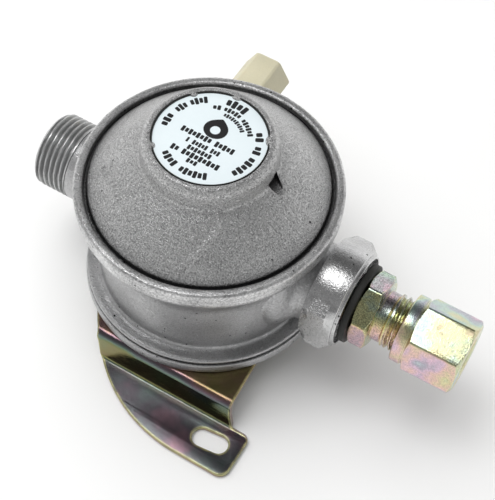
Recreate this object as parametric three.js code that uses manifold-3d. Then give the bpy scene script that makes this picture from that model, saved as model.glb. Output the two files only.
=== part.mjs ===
// Two-stage low-pressure gas regulator for a caravan: die-cast body with a screwed inlet, a
// compression outlet for 8 mm pipe, a test point and a joggled wall bracket. Millimetres, +Z up.
// The working origin is the crossing of the upright body axis and the inlet-outlet axis; the
// finished group is lifted and centred so that it stands on Z = 0 with its box centred on X and Y.
import * as THREE from 'three';
import { mergeVertices } from 'three/addons/utils/BufferGeometryUtils.js';
import Module from 'manifold-3d';

const wasm = await Module();
wasm.setup();

// ---------------------------------------------------------------- clearances
const SEAT_GAP = 0.05; // between faces that rest on each other
const RUNNING_GAP = 0.05; // radial, round a piece that slides or turns
const THREAD_GAP = 0.07; // radial, between a male crest and the plain bore it screws into
const SCREW_HOLE_GAP = 0.2; // radial, round a screw that passes through

// ---------------------------------------------------------------- facets
const FINE = 36; // sides of the large turned shapes
const MEDIUM = 20; // sides of the fittings
const COARSE = 12; // sides of small pieces and holes

// ---------------------------------------------------------------- body casting
const WAIST_R = 27.8; // outside of the body wall at its foot
const WAIST_TOP_R = WAIST_R + 0.5; // after the casting draft
const BODY_WALL = 2.8;
const CAVITY_R = WAIST_R - BODY_WALL;
const CAVITY_FLOOR_Z = -4;
const STAGE_FLOOR = 5; // thickness of the floor between the two stages
const LEDGE_Z = 14; // where the large diaphragm is clamped
const SHOULDER_Z = LEDGE_Z - 6; // the wall starts to flare here
const RIM_R = WAIST_R + 4.8;
const RIM_WALL = 1.5; // beside the clamped flange
const LIP_THICKNESS = 2; // rolled over the cover's flange
const LIP_OVERLAP = 0.95;
const FOOT_FLANGE_R = WAIST_R + 3.8;
const FOOT_FLANGE_THICKNESS = 1.4;
const FOOT_SPIGOT_DEPTH = 0.5; // locates the bottom cover
const FOOT_SPIGOT_R = FOOT_FLANGE_R - 0.7;
const STAGE_ONE_R = 21; // first-stage chamber
const STAGE_ONE_DEPTH = 5.9;

// ---------------------------------------------------------------- cover
const COVER_FLANGE = 2.4;
const DIAPHRAGM = 0.95; // rubber thickness, both stages
const COVER_GROOVE = 0.9; // dark gap between the lip and the dome
const DOME_STEP = 1.4; // upright edge of the dome inside the gap
const DOME_RISE = 10.5;
const DOME_CROWN = 0.9; // how far the dome bulges past a straight cone
const TOWER_FOOT_R = 17.2;
const TOWER_SKIRT_R = 16.3;
const TOWER_TOP_R = 15.9;
const TOWER_HEIGHT = 6.8;
const TOWER_ROUND = 1.6;
const PLATE_R = 13.25; // rating plate
const PLATE_THICKNESS = 0.5;
const PLATE_MARGIN = 0.3; // radial room round the rating plate
const PLATE_SINK = 0.45; // its face below the tower's top
const VENT_WIDTH = 3.4;
const VENT_HEIGHT = 2.6;
const VENT_REACH = 3; // how far past the tower's foot it runs
const ADJUSTER_R = 10.9;

// ---------------------------------------------------------------- bottom cover
const BOTTOM_FLANGE_R = FOOT_FLANGE_R + 0.46;
const BOTTOM_RIM = 0.85; // height of the rim round the small diaphragm
const BOTTOM_FLANGE = 3; // thickness
const BOTTOM_SKIN = 1.5;
const CUP_R = 10.5; // inside, round the first-stage spring
const CUP_DEPTH = 8.1; // below the cover's inner floor
const BREATHER_R = 1.5;

// ---------------------------------------------------------------- bracket
const SHEET = 1.5;
const BRACKET_STEP = 9; // drop from the upper plate to the feet
const BEND_Y = 31.3; // where the upper plate ends
const STEP_LEAN = 1.1; // the step is not quite upright
const BEND_RADIUS = 1.6;
const BRACKET_HALF_WIDTH = 26;
const FOOT_REACH = 45.9; // outer edge of a foot, along Y
const FOOT_TAB = 6.5; // how far the slotted tab runs past the plate's side
const FOOT_ARC_R = 42;
const FOOT_ARC_X = 18; // centre of the foot's long curved edge
const TAB_CORNER = 3;
const NOTCH_Y = 32.8; // inner edge of the tab
const SLOT_X = 24.2;
const SLOT_Y = 38.8;
const SLOT_LENGTH = 9.6;
const SLOT_WIDTH = 5;
const SLOT_TILT = 6; // degrees
const CUP_CLEARANCE = 1.5; // round the cup, where it passes the bracket
const SCREW_R = 2;
const SCREW_CIRCLE_R = 25;
const SCREW_HEAD_R = 3.6;
const SCREW_HEAD = 2.4;
const SCREW_DEPTH = 5.6; // bite into the body
const SCREW_ANGLES = [60, 120, 240, 300];

// ---------------------------------------------------------------- inlet, M20 x 1.5
const INLET_THREAD_R = 9.95;
const INLET_BOSS_LENGTH = 9.7; // plain part, from the waist
const INLET_THREAD_LENGTH = 9.5;
const THREAD_DEPTH = 0.9;
const PITCH = 1.5;
const INLET_BORE_R = 5;
const FILTER_THICKNESS = 1.6;
const FILTER_STEP = 0.6; // shoulder the filter rests on
const DUCT_R = 1.6;
const DUCT_Z = -3.4;

// ---------------------------------------------------------------- outlet, 8 mm pipe, M14 x 1.5
const NECK_R = 10.2;
const NECK_LENGTH = 4.8;
const COLLAR_LENGTH = 8.4;
const COLLAR_FLATS = 25;
const COLLAR_TOP_R = 12.9;
const COLLAR_CHAMFER = 2.2; // along the flow
const COLLAR_CHAMFER_DROP = 1.9; // towards the flow axis
const COLLAR_RING_R = 12;
const COLLAR_RING = 1.5;
const OUTLET_BORE_R = 4.5;
const OUTLET_SEAL_R = 10.3;
const OUTLET_SEAL = 1.1;
const STUB_SCREW_R = 7;
const STUB_SCREW_LENGTH = 8;
const STUB_HEX_FLATS = 17;
const STUB_HEX = 4.9;
const STUB_HEX_TURN = 34; // degrees, corner position
const STUB_NECK_R = 6.4;
const STUB_NECK = 3;
const STUB_THREAD_R = 6.93;
const STUB_THREAD = 11;
const STUB_BORE_R = 3;
const PIPE_R = 4;
const PIPE_STOP_DEPTH = 7;
const CONE_DEGREES = 12; // half angle of the mouth that the cutting ring enters
const CONE_MOUTH_R = 5.25;
const RING_NOSE_R = 4.5;
const RING_NOSE_LENGTH = 3.1;
const RING_NOSE_DEPTH = 1.5; // how far the nose stands inside the mouth
const RING_BODY_R = 5.8;
const RING_BODY_LENGTH = 2.4;
const RING_TAIL = 1.2; // 45 degree tail
const NUT_STANDOFF = 3.5; // thread left showing
const NUT_COLLAR_R = 8.7;
const NUT_COLLAR = 3;
const NUT_FLATS = 17;
const NUT_HEX_TURN = 18; // degrees, corner position
const NUT_END_WALL = 3.2;
const HEX_CHAMFER = 0.8;

// ---------------------------------------------------------------- test point
const TEST_X = -13;
const TEST_BOSS_R = 6.4;
const TEST_BOSS_REACH = 34.6; // from the body axis
const NIPPLE_FLATS = 9.6;
const NIPPLE_HEX = 4.9;
const NIPPLE_R = 3.9; // threaded stem inside the cap
const NIPPLE_STEM = 9;
const NIPPLE_SCREW_R = 3.4;
const NIPPLE_SCREW_LENGTH = 6;
const NIPPLE_BORE_R = 1.2;
const CAP_FLATS = 12;
const CAP_LENGTH = 12;
const CAP_SEAL = 1;
const CAP_STANDOFF = 0.5; // between the nipple's hexagon and the cap

// ---------------------------------------------------------------- large diaphragm and relief valve
const CENTRE_DROP = 1.5; // rest position of the centre below the clamp
const CONVOLUTION_HEIGHT = 3.4;
const UPPER_PLATE_R = 14.5;
const LOWER_PLATE_R = 9;
const STAMPED = 0.8; // thickness of the stamped plates
const HUB_R = 4;
const HUB_BORE_R = 2.6;
const HUB_FLANGE_R = 6.4;
const HUB_FLANGE = 0.6;
const HUB_LIP_R = 4.9;
const HUB_LIP = 0.6;
const STEM_R = 1.4;
const STEM_DISC_R = 5.4;
const STEM_DISC = 0.7;
const RELIEF_PAD = 0.8;
const RELIEF_SPRING_LENGTH = 7;
const RELIEF_CAP_R = 4.4;
const RELIEF_NUT_FLATS = 5.5;
const RELIEF_NUT = 2.2;
const STIRRUP_HALF_X = 3;
const STIRRUP_HALF_Y = 1.5;
const STIRRUP_BAR = 1.2;
const STIRRUP_SIDE = 1.4; // thickness of each side of the window
const STIRRUP_PLAY_BELOW = 0.35;
const STIRRUP_PLAY_ABOVE = 1.6;

// ---------------------------------------------------------------- lever and second-stage valve
const PIVOT_Y = -11;
const PIVOT_Z = 1;
const PIN_R = 1;
const LEVER_HUB_R = 2.2;
const LEVER_HALF_WIDTH = 1.5;
const TIP_REACH = 2.2; // past the body axis
const TIP_Z = 5; // middle of the tip at rest
const TIP_THICKNESS = 1.4;
const VALVE_Z = 5.5;
const SHORT_ARM_HALF = 0.6;
const SHORT_ARM_TOP = 6.7;
const CHEEK_INNER = 2.9;
const CHEEK_OUTER = 5.2;
const CHEEK_BACK_Y = -8;
const CHEEK_FRONT_Y = -13.6;
const CHEEK_TOP_Z = 7.6;
const RAIL_DEPTH = 0.8;
const RAIL_HALF = 0.5;
const PLUNGER_HALF_Z = 1.2;
const PLUNGER_BACK_Y = -9.3;
const PLUNGER_SLOT_HALF = 1.05;
const PLUNGER_HEAD_Y = -12.3;
const PLUNGER_HEAD = 0.7;
const PLUNGER_HEAD_HALF_Z = 2.2;
const PAD_R = 2.1;
const PAD = 1;
const VALVE_OPENING = 1.25;
const NOZZLE_TIP_R = 1.5;
const NOZZLE_TIP = 0.9;
const NOZZLE_FLANGE_R = 3.1;
const NOZZLE_FLANGE = 0.8;
const NOZZLE_SCREW_R = 2.4;
const NOZZLE_SCREW_LENGTH = 3.4;
const NOZZLE_BORE_R = 0.9;
const PILLAR_HALF_X = 5;
const PILLAR_TOP_Z = 9.4;
const FEED_R = 1.2;
const FEED_INSET = 2.2; // feed duct behind the pillar's face

// ---------------------------------------------------------------- regulating spring and adjuster
const SEAT_DISC = 1.2;
const ADJUSTER = 3.2;
const ADJUSTER_ROOM = 1.3; // free height above it, under the rating plate
const ADJUSTER_SOCKET_FLATS = 8;
const MAIN_COIL_R = 8.4;
const MAIN_WIRE = 1.2;
const MAIN_TURNS = 4;
const RELIEF_COIL_R = 3.1;
const RELIEF_WIRE = 0.6;
const RELIEF_TURNS = 4;

// ---------------------------------------------------------------- first stage
const STAGE_ONE_LIFT = 1; // centre above the clamp at rest
const STAGE_ONE_PLATE_R = 9;
const PUSH_PIN_R = 1;
const PUSH_PIN_SHANK_R = 1.6;
const PUSH_PIN_HEAD_R = 2.5;
const PUSH_PIN_HEAD = 0.5;
const BOSS_R = 6;
const BOSS_TOP_Z = 1.2;
const POPPET_BORE_R = 3.6;
const POPPET_R = 3.2;
const POPPET_TOP = 1; // disc above the pad
const POPPET_PIN_R = 1.1;
const POPPET_PIN = 1.8;
const POPPET_PAD = 0.9;
const POPPET_OPENING = 0.85;
const PLUG_R = 4.6;
const PLUG_DEPTH = 2.6;
const PLUG_POCKET_R = 2.7;
const PLUG_POCKET = 1.6;
const PLUG_SLOT = 1;
const SEAT_R = 3.9;
const SEAT_BORE_R = 1.8;
const SEAT_LIP = 0.4;
const FIRST_COIL_R = 7;
const FIRST_WIRE = 1.6;
const FIRST_TURNS = 3.5;
const POPPET_COIL_R = 1.9;
const POPPET_WIRE = 0.4;
const POPPET_TURNS = 3;

// ---------------------------------------------------------------- heights worked out from the above
const diaphragmTop = LEDGE_Z + SEAT_GAP + DIAPHRAGM;
const coverFlangeBottom = diaphragmTop + SEAT_GAP;
const coverFlangeTop = coverFlangeBottom + COVER_FLANGE;
const lipBottom = coverFlangeTop + SEAT_GAP;
const rimTop = lipBottom + LIP_THICKNESS;
const recessR = RIM_R - RIM_WALL;
const clampedR = recessR - 0.3;
const lipR = recessR - LIP_OVERLAP;
const domeR = lipR - COVER_GROOVE;
const domeFoot = coverFlangeTop + DOME_STEP;
const domeTop = domeFoot + DOME_RISE;
const towerTop = domeTop + TOWER_HEIGHT;
const plateTop = towerTop - PLATE_SINK;
const plateBottom = plateTop - PLATE_THICKNESS;
const plateSeat = plateBottom - SEAT_GAP;
const adjusterTop = plateSeat - ADJUSTER_ROOM;
const adjusterBottom = adjusterTop - ADJUSTER;
const seatDiscTop = adjusterBottom - SEAT_GAP;
const seatDiscBottom = seatDiscTop - SEAT_DISC;

const stageOneRoof = CAVITY_FLOOR_Z - STAGE_FLOOR;
const footFace = stageOneRoof - STAGE_ONE_DEPTH;
const footFlangeTop = footFace + FOOT_SPIGOT_DEPTH + FOOT_FLANGE_THICKNESS;
const bottomFlangeTop = footFace - SEAT_GAP - DIAPHRAGM - SEAT_GAP;
const bottomFlangeBottom = bottomFlangeTop - BOTTOM_FLANGE;
const bottomInnerFloor = bottomFlangeBottom + BOTTOM_SKIN;
const cupFloor = bottomInnerFloor - CUP_DEPTH;
const bracketTop = bottomFlangeBottom - SEAT_GAP;
const bracketBottom = bracketTop - SHEET;
const footTop = bracketTop - BRACKET_STEP;
const footBottom = footTop - SHEET;

const centreBottom = LEDGE_Z + SEAT_GAP - CENTRE_DROP;
const centreTop = centreBottom + DIAPHRAGM;
const upperPlateBottom = centreTop + SEAT_GAP;
const upperPlateTop = upperPlateBottom + STAMPED;
const lowerPlateTop = centreBottom - SEAT_GAP;
const lowerPlateBottom = lowerPlateTop - STAMPED;
const hubFlangeTop = lowerPlateBottom - SEAT_GAP;
const hubFlangeBottom = hubFlangeTop - HUB_FLANGE;
const hubLipBottom = upperPlateTop + SEAT_GAP;
const hubTop = hubLipBottom + HUB_LIP;
const reliefPadTop = hubFlangeBottom - SEAT_GAP;
const stemDiscTop = reliefPadTop - RELIEF_PAD - SEAT_GAP;
const stemDiscBottom = stemDiscTop - STEM_DISC;
const reliefCapBottom = hubTop + RELIEF_SPRING_LENGTH;
const reliefCapTop = reliefCapBottom + STAMPED;
const reliefNutTop = reliefCapTop + SEAT_GAP + RELIEF_NUT;

const oneCentreBottom = footFace - SEAT_GAP - DIAPHRAGM + STAGE_ONE_LIFT;
const oneCentreTop = oneCentreBottom + DIAPHRAGM;
const onePlateTop = oneCentreTop + SEAT_GAP + STAMPED;
const oneLowerPlateBottom = oneCentreBottom - SEAT_GAP - STAMPED;
const seatTop = stageOneRoof + 2.8;
const poppetPadBottom = seatTop + POPPET_OPENING;
const poppetPadTop = poppetPadBottom + POPPET_PAD;
const poppetTop = poppetPadTop + POPPET_TOP;
const plugBottom = BOSS_TOP_Z - PLUG_DEPTH;
const plugCeiling = plugBottom + PLUG_POCKET;

const neckEnd = WAIST_R + NECK_LENGTH;
const collarEnd = neckEnd + COLLAR_LENGTH;
const ringEnd = collarEnd + COLLAR_RING;
const sealStart = ringEnd + SEAT_GAP;
const stubHexStart = sealStart + OUTLET_SEAL + SEAT_GAP;
const stubHexEnd = stubHexStart + STUB_HEX;
const stubThreadStart = stubHexEnd + STUB_NECK;
const stubEnd = stubThreadStart + STUB_THREAD;
const ringNose = stubEnd - RING_NOSE_DEPTH;
const ringBodyStart = ringNose + RING_NOSE_LENGTH;
const ringBodyEnd = ringBodyStart + RING_BODY_LENGTH;
const pipeBoreR = PIPE_R + RUNNING_GAP;
const nutBoreR = STUB_THREAD_R + THREAD_GAP;
const nutStart = stubThreadStart + NUT_STANDOFF;
const nutConeStart = ringBodyEnd + RING_BODY_R - nutBoreR + 0.1;
const nutConeEnd = nutConeStart + nutBoreR - pipeBoreR - 0.1;
const nutEnd = nutConeEnd + NUT_END_WALL;
const inletThreadEnd = -(WAIST_R + INLET_BOSS_LENGTH);
const inletEnd = inletThreadEnd - INLET_THREAD_LENGTH;
const inletBoreEnd = -(WAIST_R + 1.5);

const nippleHexEnd = TEST_BOSS_REACH + SEAT_GAP + NIPPLE_HEX;
const nippleEnd = nippleHexEnd + NIPPLE_STEM;
const capStart = nippleHexEnd + CAP_STANDOFF;
const capEnd = capStart + CAP_LENGTH;
const capBoreR = NIPPLE_R + THREAD_GAP;
const capSealEnd = nippleEnd + SEAT_GAP + CAP_SEAL;

// ---------------------------------------------------------------- materials
const material = (color, roughness, metalness) =>
  new THREE.MeshStandardMaterial({ color, roughness, metalness });

const CAST = material(0xa9a8a6, 0.55, 0.9);
const CAST_SMOOTH = material(0xb2b2b1, 0.42, 0.9);
const YELLOW_ZINC = material(0xb7ab6a, 0.3, 1);
const BRASS = material(0xc09a4b, 0.32, 1);
const STEEL = material(0x9c9fa2, 0.35, 1);
const SPRING_STEEL = material(0x7d8084, 0.38, 1);
const RUBBER = material(0x1d1d1f, 0.8, 0);
const LABEL = material(0xdfe6e8, 0.35, 0.4);
const BEIGE = material(0xcbbf9a, 0.5, 0);
const BLACK_PLASTIC = material(0x26272a, 0.55, 0);

// ---------------------------------------------------------------- geometry helpers
const vec = (x, y) => new THREE.Vector2(x, y);

/** Points of a circular arc, in degrees. */
function arc(centreX, centreY, radius, fromDegrees, toDegrees, steps) {
  const points = [];
  for (let i = 0; i <= steps; i += 1) {
    const angle = THREE.MathUtils.degToRad(fromDegrees + ((toDegrees - fromDegrees) * i) / steps);
    points.push(vec(centreX + radius * Math.cos(angle), centreY + radius * Math.sin(angle)));
  }
  return points;
}

/** Points from a to b on a curve that bulges sideways by crown, left of the direction of travel. */
function bulge(a, b, crown, steps) {
  const along = b.clone().sub(a);
  const side = vec(-along.y, along.x).normalize();
  const points = [];
  for (let i = 0; i <= steps; i += 1) {
    const t = i / steps;
    points.push(a.clone().addScaledVector(along, t).addScaledVector(side, 4 * crown * t * (1 - t)));
  }
  return points;
}

/** A closed three.js geometry as a solid, with its faces turned outward. */
function solidOf(geometry) {
  const bare = geometry.clone();
  bare.deleteAttribute('normal');
  bare.deleteAttribute('uv');
  const merged = mergeVertices(bare, 1e-4);
  const position = merged.attributes.position;
  const corner = (i) => new THREE.Vector3().fromBufferAttribute(position, i);
  const triangles = [];
  let volume = 0;
  for (let i = 0; i < merged.index.count; i += 3) {
    const [a, b, c] = [0, 1, 2].map((k) => merged.index.getX(i + k));
    if (a !== b && b !== c && c !== a) {
      triangles.push([a, b, c]);
      volume += corner(a).dot(corner(b).cross(corner(c)));
    }
  }
  const triVerts = new Uint32Array(triangles.flatMap(([a, b, c]) => (volume > 0 ? [a, b, c] : [a, c, b])));
  const vertProperties = new Float32Array(position.array);
  return new wasm.Manifold(new wasm.Mesh({ numProp: 3, vertProperties, triVerts }));
}

const X = new THREE.Vector3(1, 0, 0);
const Y = new THREE.Vector3(0, 1, 0);
const Z = new THREE.Vector3(0, 0, 1);
const TURNS = {
  x: new THREE.Matrix4().makeBasis(Y, Z, X), // local x, y, z become Y, Z, X
  y: new THREE.Matrix4().makeBasis(X, Z, Y), // local x, y, z become X, Z, Y
  z: new THREE.Matrix4(),
};

/** A solid turned about an axis from [radius, height] points; at is its place across the axis. */
function turned(points, axis = 'z', sides = MEDIUM, at = [0, 0]) {
  const profile = points.map((p) => (p.isVector2 ? p.clone() : vec(p[0], p[1])));
  const onAxis = profile[0].x === 0 && profile[profile.length - 1].x === 0;
  if (!onAxis) {
    profile.push(profile[0].clone());
  }
  const geometry = new THREE.LatheGeometry(profile, sides);
  geometry.rotateX(Math.PI / 2);
  geometry.translate(at[0], at[1], 0);
  return solidOf(geometry.applyMatrix4(TURNS[axis]));
}

/** A plain round rod or hole cutter along an axis. */
function rod(radius, from, to, axis = 'z', at = [0, 0], sides = COARSE) {
  return turned([[0, from], [radius, from], [radius, to], [0, to]], axis, sides, at);
}

/** A flat shape drawn out along an axis. */
function prism(shape, from, to, axis = 'z') {
  const geometry = new THREE.ExtrudeGeometry(shape, { depth: to - from, bevelEnabled: false, curveSegments: 12 });
  geometry.translate(0, 0, from);
  return solidOf(geometry.applyMatrix4(TURNS[axis]));
}

/** A box between two corners. */
function block(low, high) {
  const [dx, dy, dz] = [0, 1, 2].map((i) => high[i] - low[i]);
  const geometry = new THREE.BoxGeometry(dx, dy, dz);
  geometry.translate(low[0] + dx / 2, low[1] + dy / 2, low[2] + dz / 2);
  return solidOf(geometry);
}

/** A hexagon across flats, with one corner at the given angle. */
function hexagon(flats, cornerDegrees) {
  const radius = flats / 2 / Math.cos(Math.PI / 6);
  return new THREE.Shape(arc(0, 0, radius, cornerDegrees, cornerDegrees + 300, 5));
}

/** A hexagonal bar with its corners turned off at one or both ends. */
function hexBar(flats, from, to, axis, cornerDegrees, chamferFrom, chamferTo, at = [0, 0]) {
  const corner = flats / 2 / Math.cos(Math.PI / 6);
  const face = flats / 2 - 0.1;
  const turnedEnds = turned(
    [
      [0, from],
      [chamferFrom ? face : corner, from],
      [corner, from + (chamferFrom ? HEX_CHAMFER : 0.01)],
      [corner, to - (chamferTo ? HEX_CHAMFER : 0.01)],
      [chamferTo ? face : corner, to],
      [0, to],
    ],
    axis,
    MEDIUM,
    at,
  );
  const shape = hexagon(flats, cornerDegrees);
  const moved = new THREE.Shape(shape.getPoints().map((p) => vec(p.x + at[0], p.y + at[1])));
  return prism(moved, from, to, axis).intersect(turnedEnds);
}

/** [radius, height] points of a screw thread drawn as rings, from a lower to a higher height. */
function threadPoints(from, to, crestR, pitch = PITCH, depth = THREAD_DEPTH) {
  const rings = Math.floor((to - from) / pitch);
  const start = from + (to - from - rings * pitch) / 2;
  const points = [];
  for (let i = 0; i < rings; i += 1) {
    const base = start + i * pitch;
    points.push([crestR - depth, base + 0.05 * pitch], [crestR, base + 0.5 * pitch]);
  }
  points.push([crestR - depth, start + (rings - 0.05) * pitch]);
  return points;
}

/** Closed outline of a sheet of even thickness that follows a line of points. */
function sheetOutline(line, thickness) {
  const normals = line.map((p, i) => {
    const before = line[Math.max(i - 1, 0)];
    const after = line[Math.min(i + 1, line.length - 1)];
    const direction = after.clone().sub(before).normalize();
    return vec(-direction.y, direction.x);
  });
  const offset = (side) => line.map((p, i) => p.clone().addScaledVector(normals[i], (side * thickness) / 2));
  return [...offset(1), ...offset(-1).reverse()];
}

class Helix extends THREE.Curve {
  constructor(radius, from, to, turns) {
    super();
    Object.assign(this, { radius, from, to, turns });
  }

  getPoint(t, target = new THREE.Vector3()) {
    const angle = t * this.turns * Math.PI * 2;
    const height = THREE.MathUtils.lerp(this.from, this.to, t);
    return target.set(this.radius * Math.cos(angle), this.radius * Math.sin(angle), height);
  }
}

/** A round-wire compression spring that stands between two heights. */
function spring(coilR, wire, from, to, turns) {
  const gap = wire / 2 + SEAT_GAP;
  const path = new Helix(coilR, from + gap, to - gap, turns);
  const section = new THREE.Shape(arc(0, 0, wire / 2, 0, 288, 4));
  return solidOf(new THREE.ExtrudeGeometry(section, { steps: Math.ceil(turns * 12), extrudePath: path }));
}

const union = (...solids) => wasm.Manifold.union(solids);
const polar = (radius, degrees) => {
  const angle = THREE.MathUtils.degToRad(degrees);
  return [radius * Math.cos(angle), radius * Math.sin(angle)];
};
const screwPlaces = SCREW_ANGLES.map((degrees) => polar(SCREW_CIRCLE_R, degrees));

/** Holes for the four bracket screws. */
function screwHoles(radius, from, to) {
  return union(...screwPlaces.map((at) => rod(radius, from, to, 'z', at, 16)));
}

// ---------------------------------------------------------------- body casting
function bodyShell() {
  return turned(
    [
      [0, stageOneRoof],
      [STAGE_ONE_R, stageOneRoof],
      [STAGE_ONE_R, footFace],
      [FOOT_SPIGOT_R, footFace],
      [FOOT_SPIGOT_R, footFace + FOOT_SPIGOT_DEPTH],
      [FOOT_FLANGE_R, footFace + FOOT_SPIGOT_DEPTH],
      [FOOT_FLANGE_R, footFlangeTop - 0.4],
      [FOOT_FLANGE_R - 0.4, footFlangeTop],
      [WAIST_R + 0.9, footFlangeTop],
      [WAIST_R, footFlangeTop + 0.9],
      [WAIST_TOP_R, SHOULDER_Z],
      [RIM_R - 0.9, LEDGE_Z - 0.7],
      [RIM_R - 0.2, LEDGE_Z + 0.5],
      [RIM_R, LEDGE_Z + 1.2],
      [RIM_R, rimTop - 0.9],
      [RIM_R - 0.3, rimTop - 0.3],
      [RIM_R - 0.9, rimTop],
      [lipR + 0.5, rimTop],
      [lipR, rimTop - 0.5],
      [lipR, lipBottom],
      [recessR, lipBottom],
      [recessR, LEDGE_Z],
      [CAVITY_R, LEDGE_Z],
      [CAVITY_R, CAVITY_FLOOR_Z],
      [0, CAVITY_FLOOR_Z],
    ],
    'z',
    FINE,
  );
}

function inletSpigot() {
  return turned(
    [
      [0, inletEnd],
      [INLET_THREAD_R - 1.1, inletEnd],
      [INLET_THREAD_R - THREAD_DEPTH, inletEnd + 0.4],
      ...threadPoints(inletEnd + 0.6, inletThreadEnd, INLET_THREAD_R),
      [INLET_THREAD_R, inletThreadEnd],
      [INLET_THREAD_R, -CAVITY_R - 1],
      [0, -CAVITY_R - 1],
    ],
    'x',
  );
}

function outletBoss() {
  const neck = rod(NECK_R, CAVITY_R + 1, neckEnd + 0.5, 'x', [0, 0], MEDIUM);
  const half = COLLAR_FLATS / 2;
  const cornerZ = half * Math.tan(Math.PI / 6);
  const joint = 30 + THREE.MathUtils.radToDeg(Math.acos(half / COLLAR_TOP_R));
  const outline = new THREE.Shape([
    ...arc(0, 0, COLLAR_TOP_R, 90 - joint, 90 + joint, 10),
    vec(-half, cornerZ),
    vec(-half, -cornerZ),
    ...arc(0, 0, COLLAR_TOP_R, 270 - joint, 270 + joint, 10),
    vec(half, -cornerZ),
    vec(half, cornerZ),
  ]);
  const cornerR = half / Math.cos(Math.PI / 6);
  const ends = turned(
    [
      [0, neckEnd],
      [cornerR - COLLAR_CHAMFER_DROP, neckEnd],
      [cornerR, neckEnd + COLLAR_CHAMFER],
      [cornerR, collarEnd - COLLAR_CHAMFER],
      [cornerR - COLLAR_CHAMFER_DROP, collarEnd],
      [0, collarEnd],
    ],
    'x',
  );
  const collar = prism(outline, neckEnd, collarEnd, 'x').intersect(ends);
  const ring = rod(COLLAR_RING_R, collarEnd - 0.5, ringEnd, 'x', [0, 0], MEDIUM);
  return union(neck, collar, ring);
}

function testBoss() {
  return rod(TEST_BOSS_R, CAVITY_R - 2, TEST_BOSS_REACH, 'y', [TEST_X, 0]).subtract(
    rod(CAVITY_R, CAVITY_FLOOR_Z - 10, LEDGE_Z, 'z', [0, 0], FINE),
  );
}

/** Everything cast inside the large chamber: the gas duct's rib, the bosses and the cheeks. */
function chamberCastings() {
  const base = CAVITY_FLOOR_Z - 1;
  const boss = rod(BOSS_R, base, BOSS_TOP_Z);
  const rib = block([-CAVITY_R - 1, -BOSS_R + 2, base], [0, BOSS_R - 2, DUCT_Z + DUCT_R + 1.4]);
  const pillarFace = nozzleFace - SEAT_GAP;
  const pillar = block([-PILLAR_HALF_X, -CAVITY_R - 0.5, base], [PILLAR_HALF_X, pillarFace, PILLAR_TOP_Z]);
  const cheek = (side) =>
    block(
      [Math.min(side * CHEEK_INNER, side * CHEEK_OUTER), CHEEK_FRONT_Y, base],
      [Math.max(side * CHEEK_INNER, side * CHEEK_OUTER), CHEEK_BACK_Y, CHEEK_TOP_Z],
    );
  return union(boss, rib, pillar, cheek(-1), cheek(1));
}

const padFace = PLUNGER_HEAD_Y - PLUNGER_HEAD - PAD;
const nozzleTip = padFace - VALVE_OPENING;
const nozzleFace = nozzleTip - NOZZLE_TIP - NOZZLE_FLANGE;
const feedY = nozzleFace - FEED_INSET;

function gasWays() {
  const inlet = rod(INLET_BORE_R, inletEnd - 1, inletBoreEnd, 'x', [0, 0], MEDIUM);
  const duct = rod(DUCT_R, inletBoreEnd - 1, 0, 'x', [0, DUCT_Z], 12);
  const poppetBore = rod(POPPET_BORE_R, seatTop, BOSS_TOP_Z + 1);
  const plugBore = rod(PLUG_R + THREAD_GAP, plugBottom - SEAT_GAP, BOSS_TOP_Z + 1);
  const seatBore = rod(SEAT_R + THREAD_GAP, stageOneRoof - 1, seatTop + SEAT_GAP);
  const feed = rod(FEED_R, stageOneRoof - 1, VALVE_Z, 'z', [0, feedY], 12);
  const nozzleEnd = nozzleFace - NOZZLE_SCREW_LENGTH - SEAT_GAP;
  const nozzleBore = rod(NOZZLE_SCREW_R + THREAD_GAP, nozzleEnd - 0.5, nozzleFace + 1, 'y', [0, VALVE_Z], 16);
  const outlet = rod(OUTLET_BORE_R, CAVITY_R - 2, ringEnd, 'x', [0, 0], COARSE);
  const stubEndX = stubHexStart - STUB_SCREW_LENGTH - SEAT_GAP;
  const stubBore = rod(STUB_SCREW_R + THREAD_GAP, stubEndX, ringEnd + 1, 'x', [0, 0], MEDIUM);
  const testEnd = TEST_BOSS_REACH - NIPPLE_SCREW_LENGTH - SEAT_GAP;
  const testBore = rod(NIPPLE_SCREW_R + THREAD_GAP, testEnd, TEST_BOSS_REACH + 1, 'y', [TEST_X, 0]);
  const testWay = rod(NIPPLE_BORE_R, CAVITY_R * 0.6, TEST_BOSS_REACH, 'y', [TEST_X, 0], 12);
  return union(
    inlet, duct, poppetBore, plugBore, seatBore, feed, nozzleBore, outlet, stubBore, testBore, testWay,
  );
}

function leverSeats() {
  const pinHole = rod(PIN_R + RUNNING_GAP, -CHEEK_OUTER - 1, CHEEK_OUTER + 1, 'x', [PIVOT_Y, PIVOT_Z], 16);
  const reach = CHEEK_INNER + RAIL_DEPTH;
  const rail = block(
    [-reach, CHEEK_FRONT_Y - 1, VALVE_Z - RAIL_HALF - RUNNING_GAP],
    [reach, CHEEK_BACK_Y + 1, VALVE_Z + RAIL_HALF + RUNNING_GAP],
  );
  return union(pinHole, rail);
}

function bodyCasting() {
  const cast = union(bodyShell(), inletSpigot(), outletBoss(), testBoss(), chamberCastings());
  const holes = screwHoles(SCREW_R + THREAD_GAP, footFace - 1, footFace + SCREW_DEPTH + 0.4);
  return cast.subtract(union(gasWays(), leverSeats(), holes));
}

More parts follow.
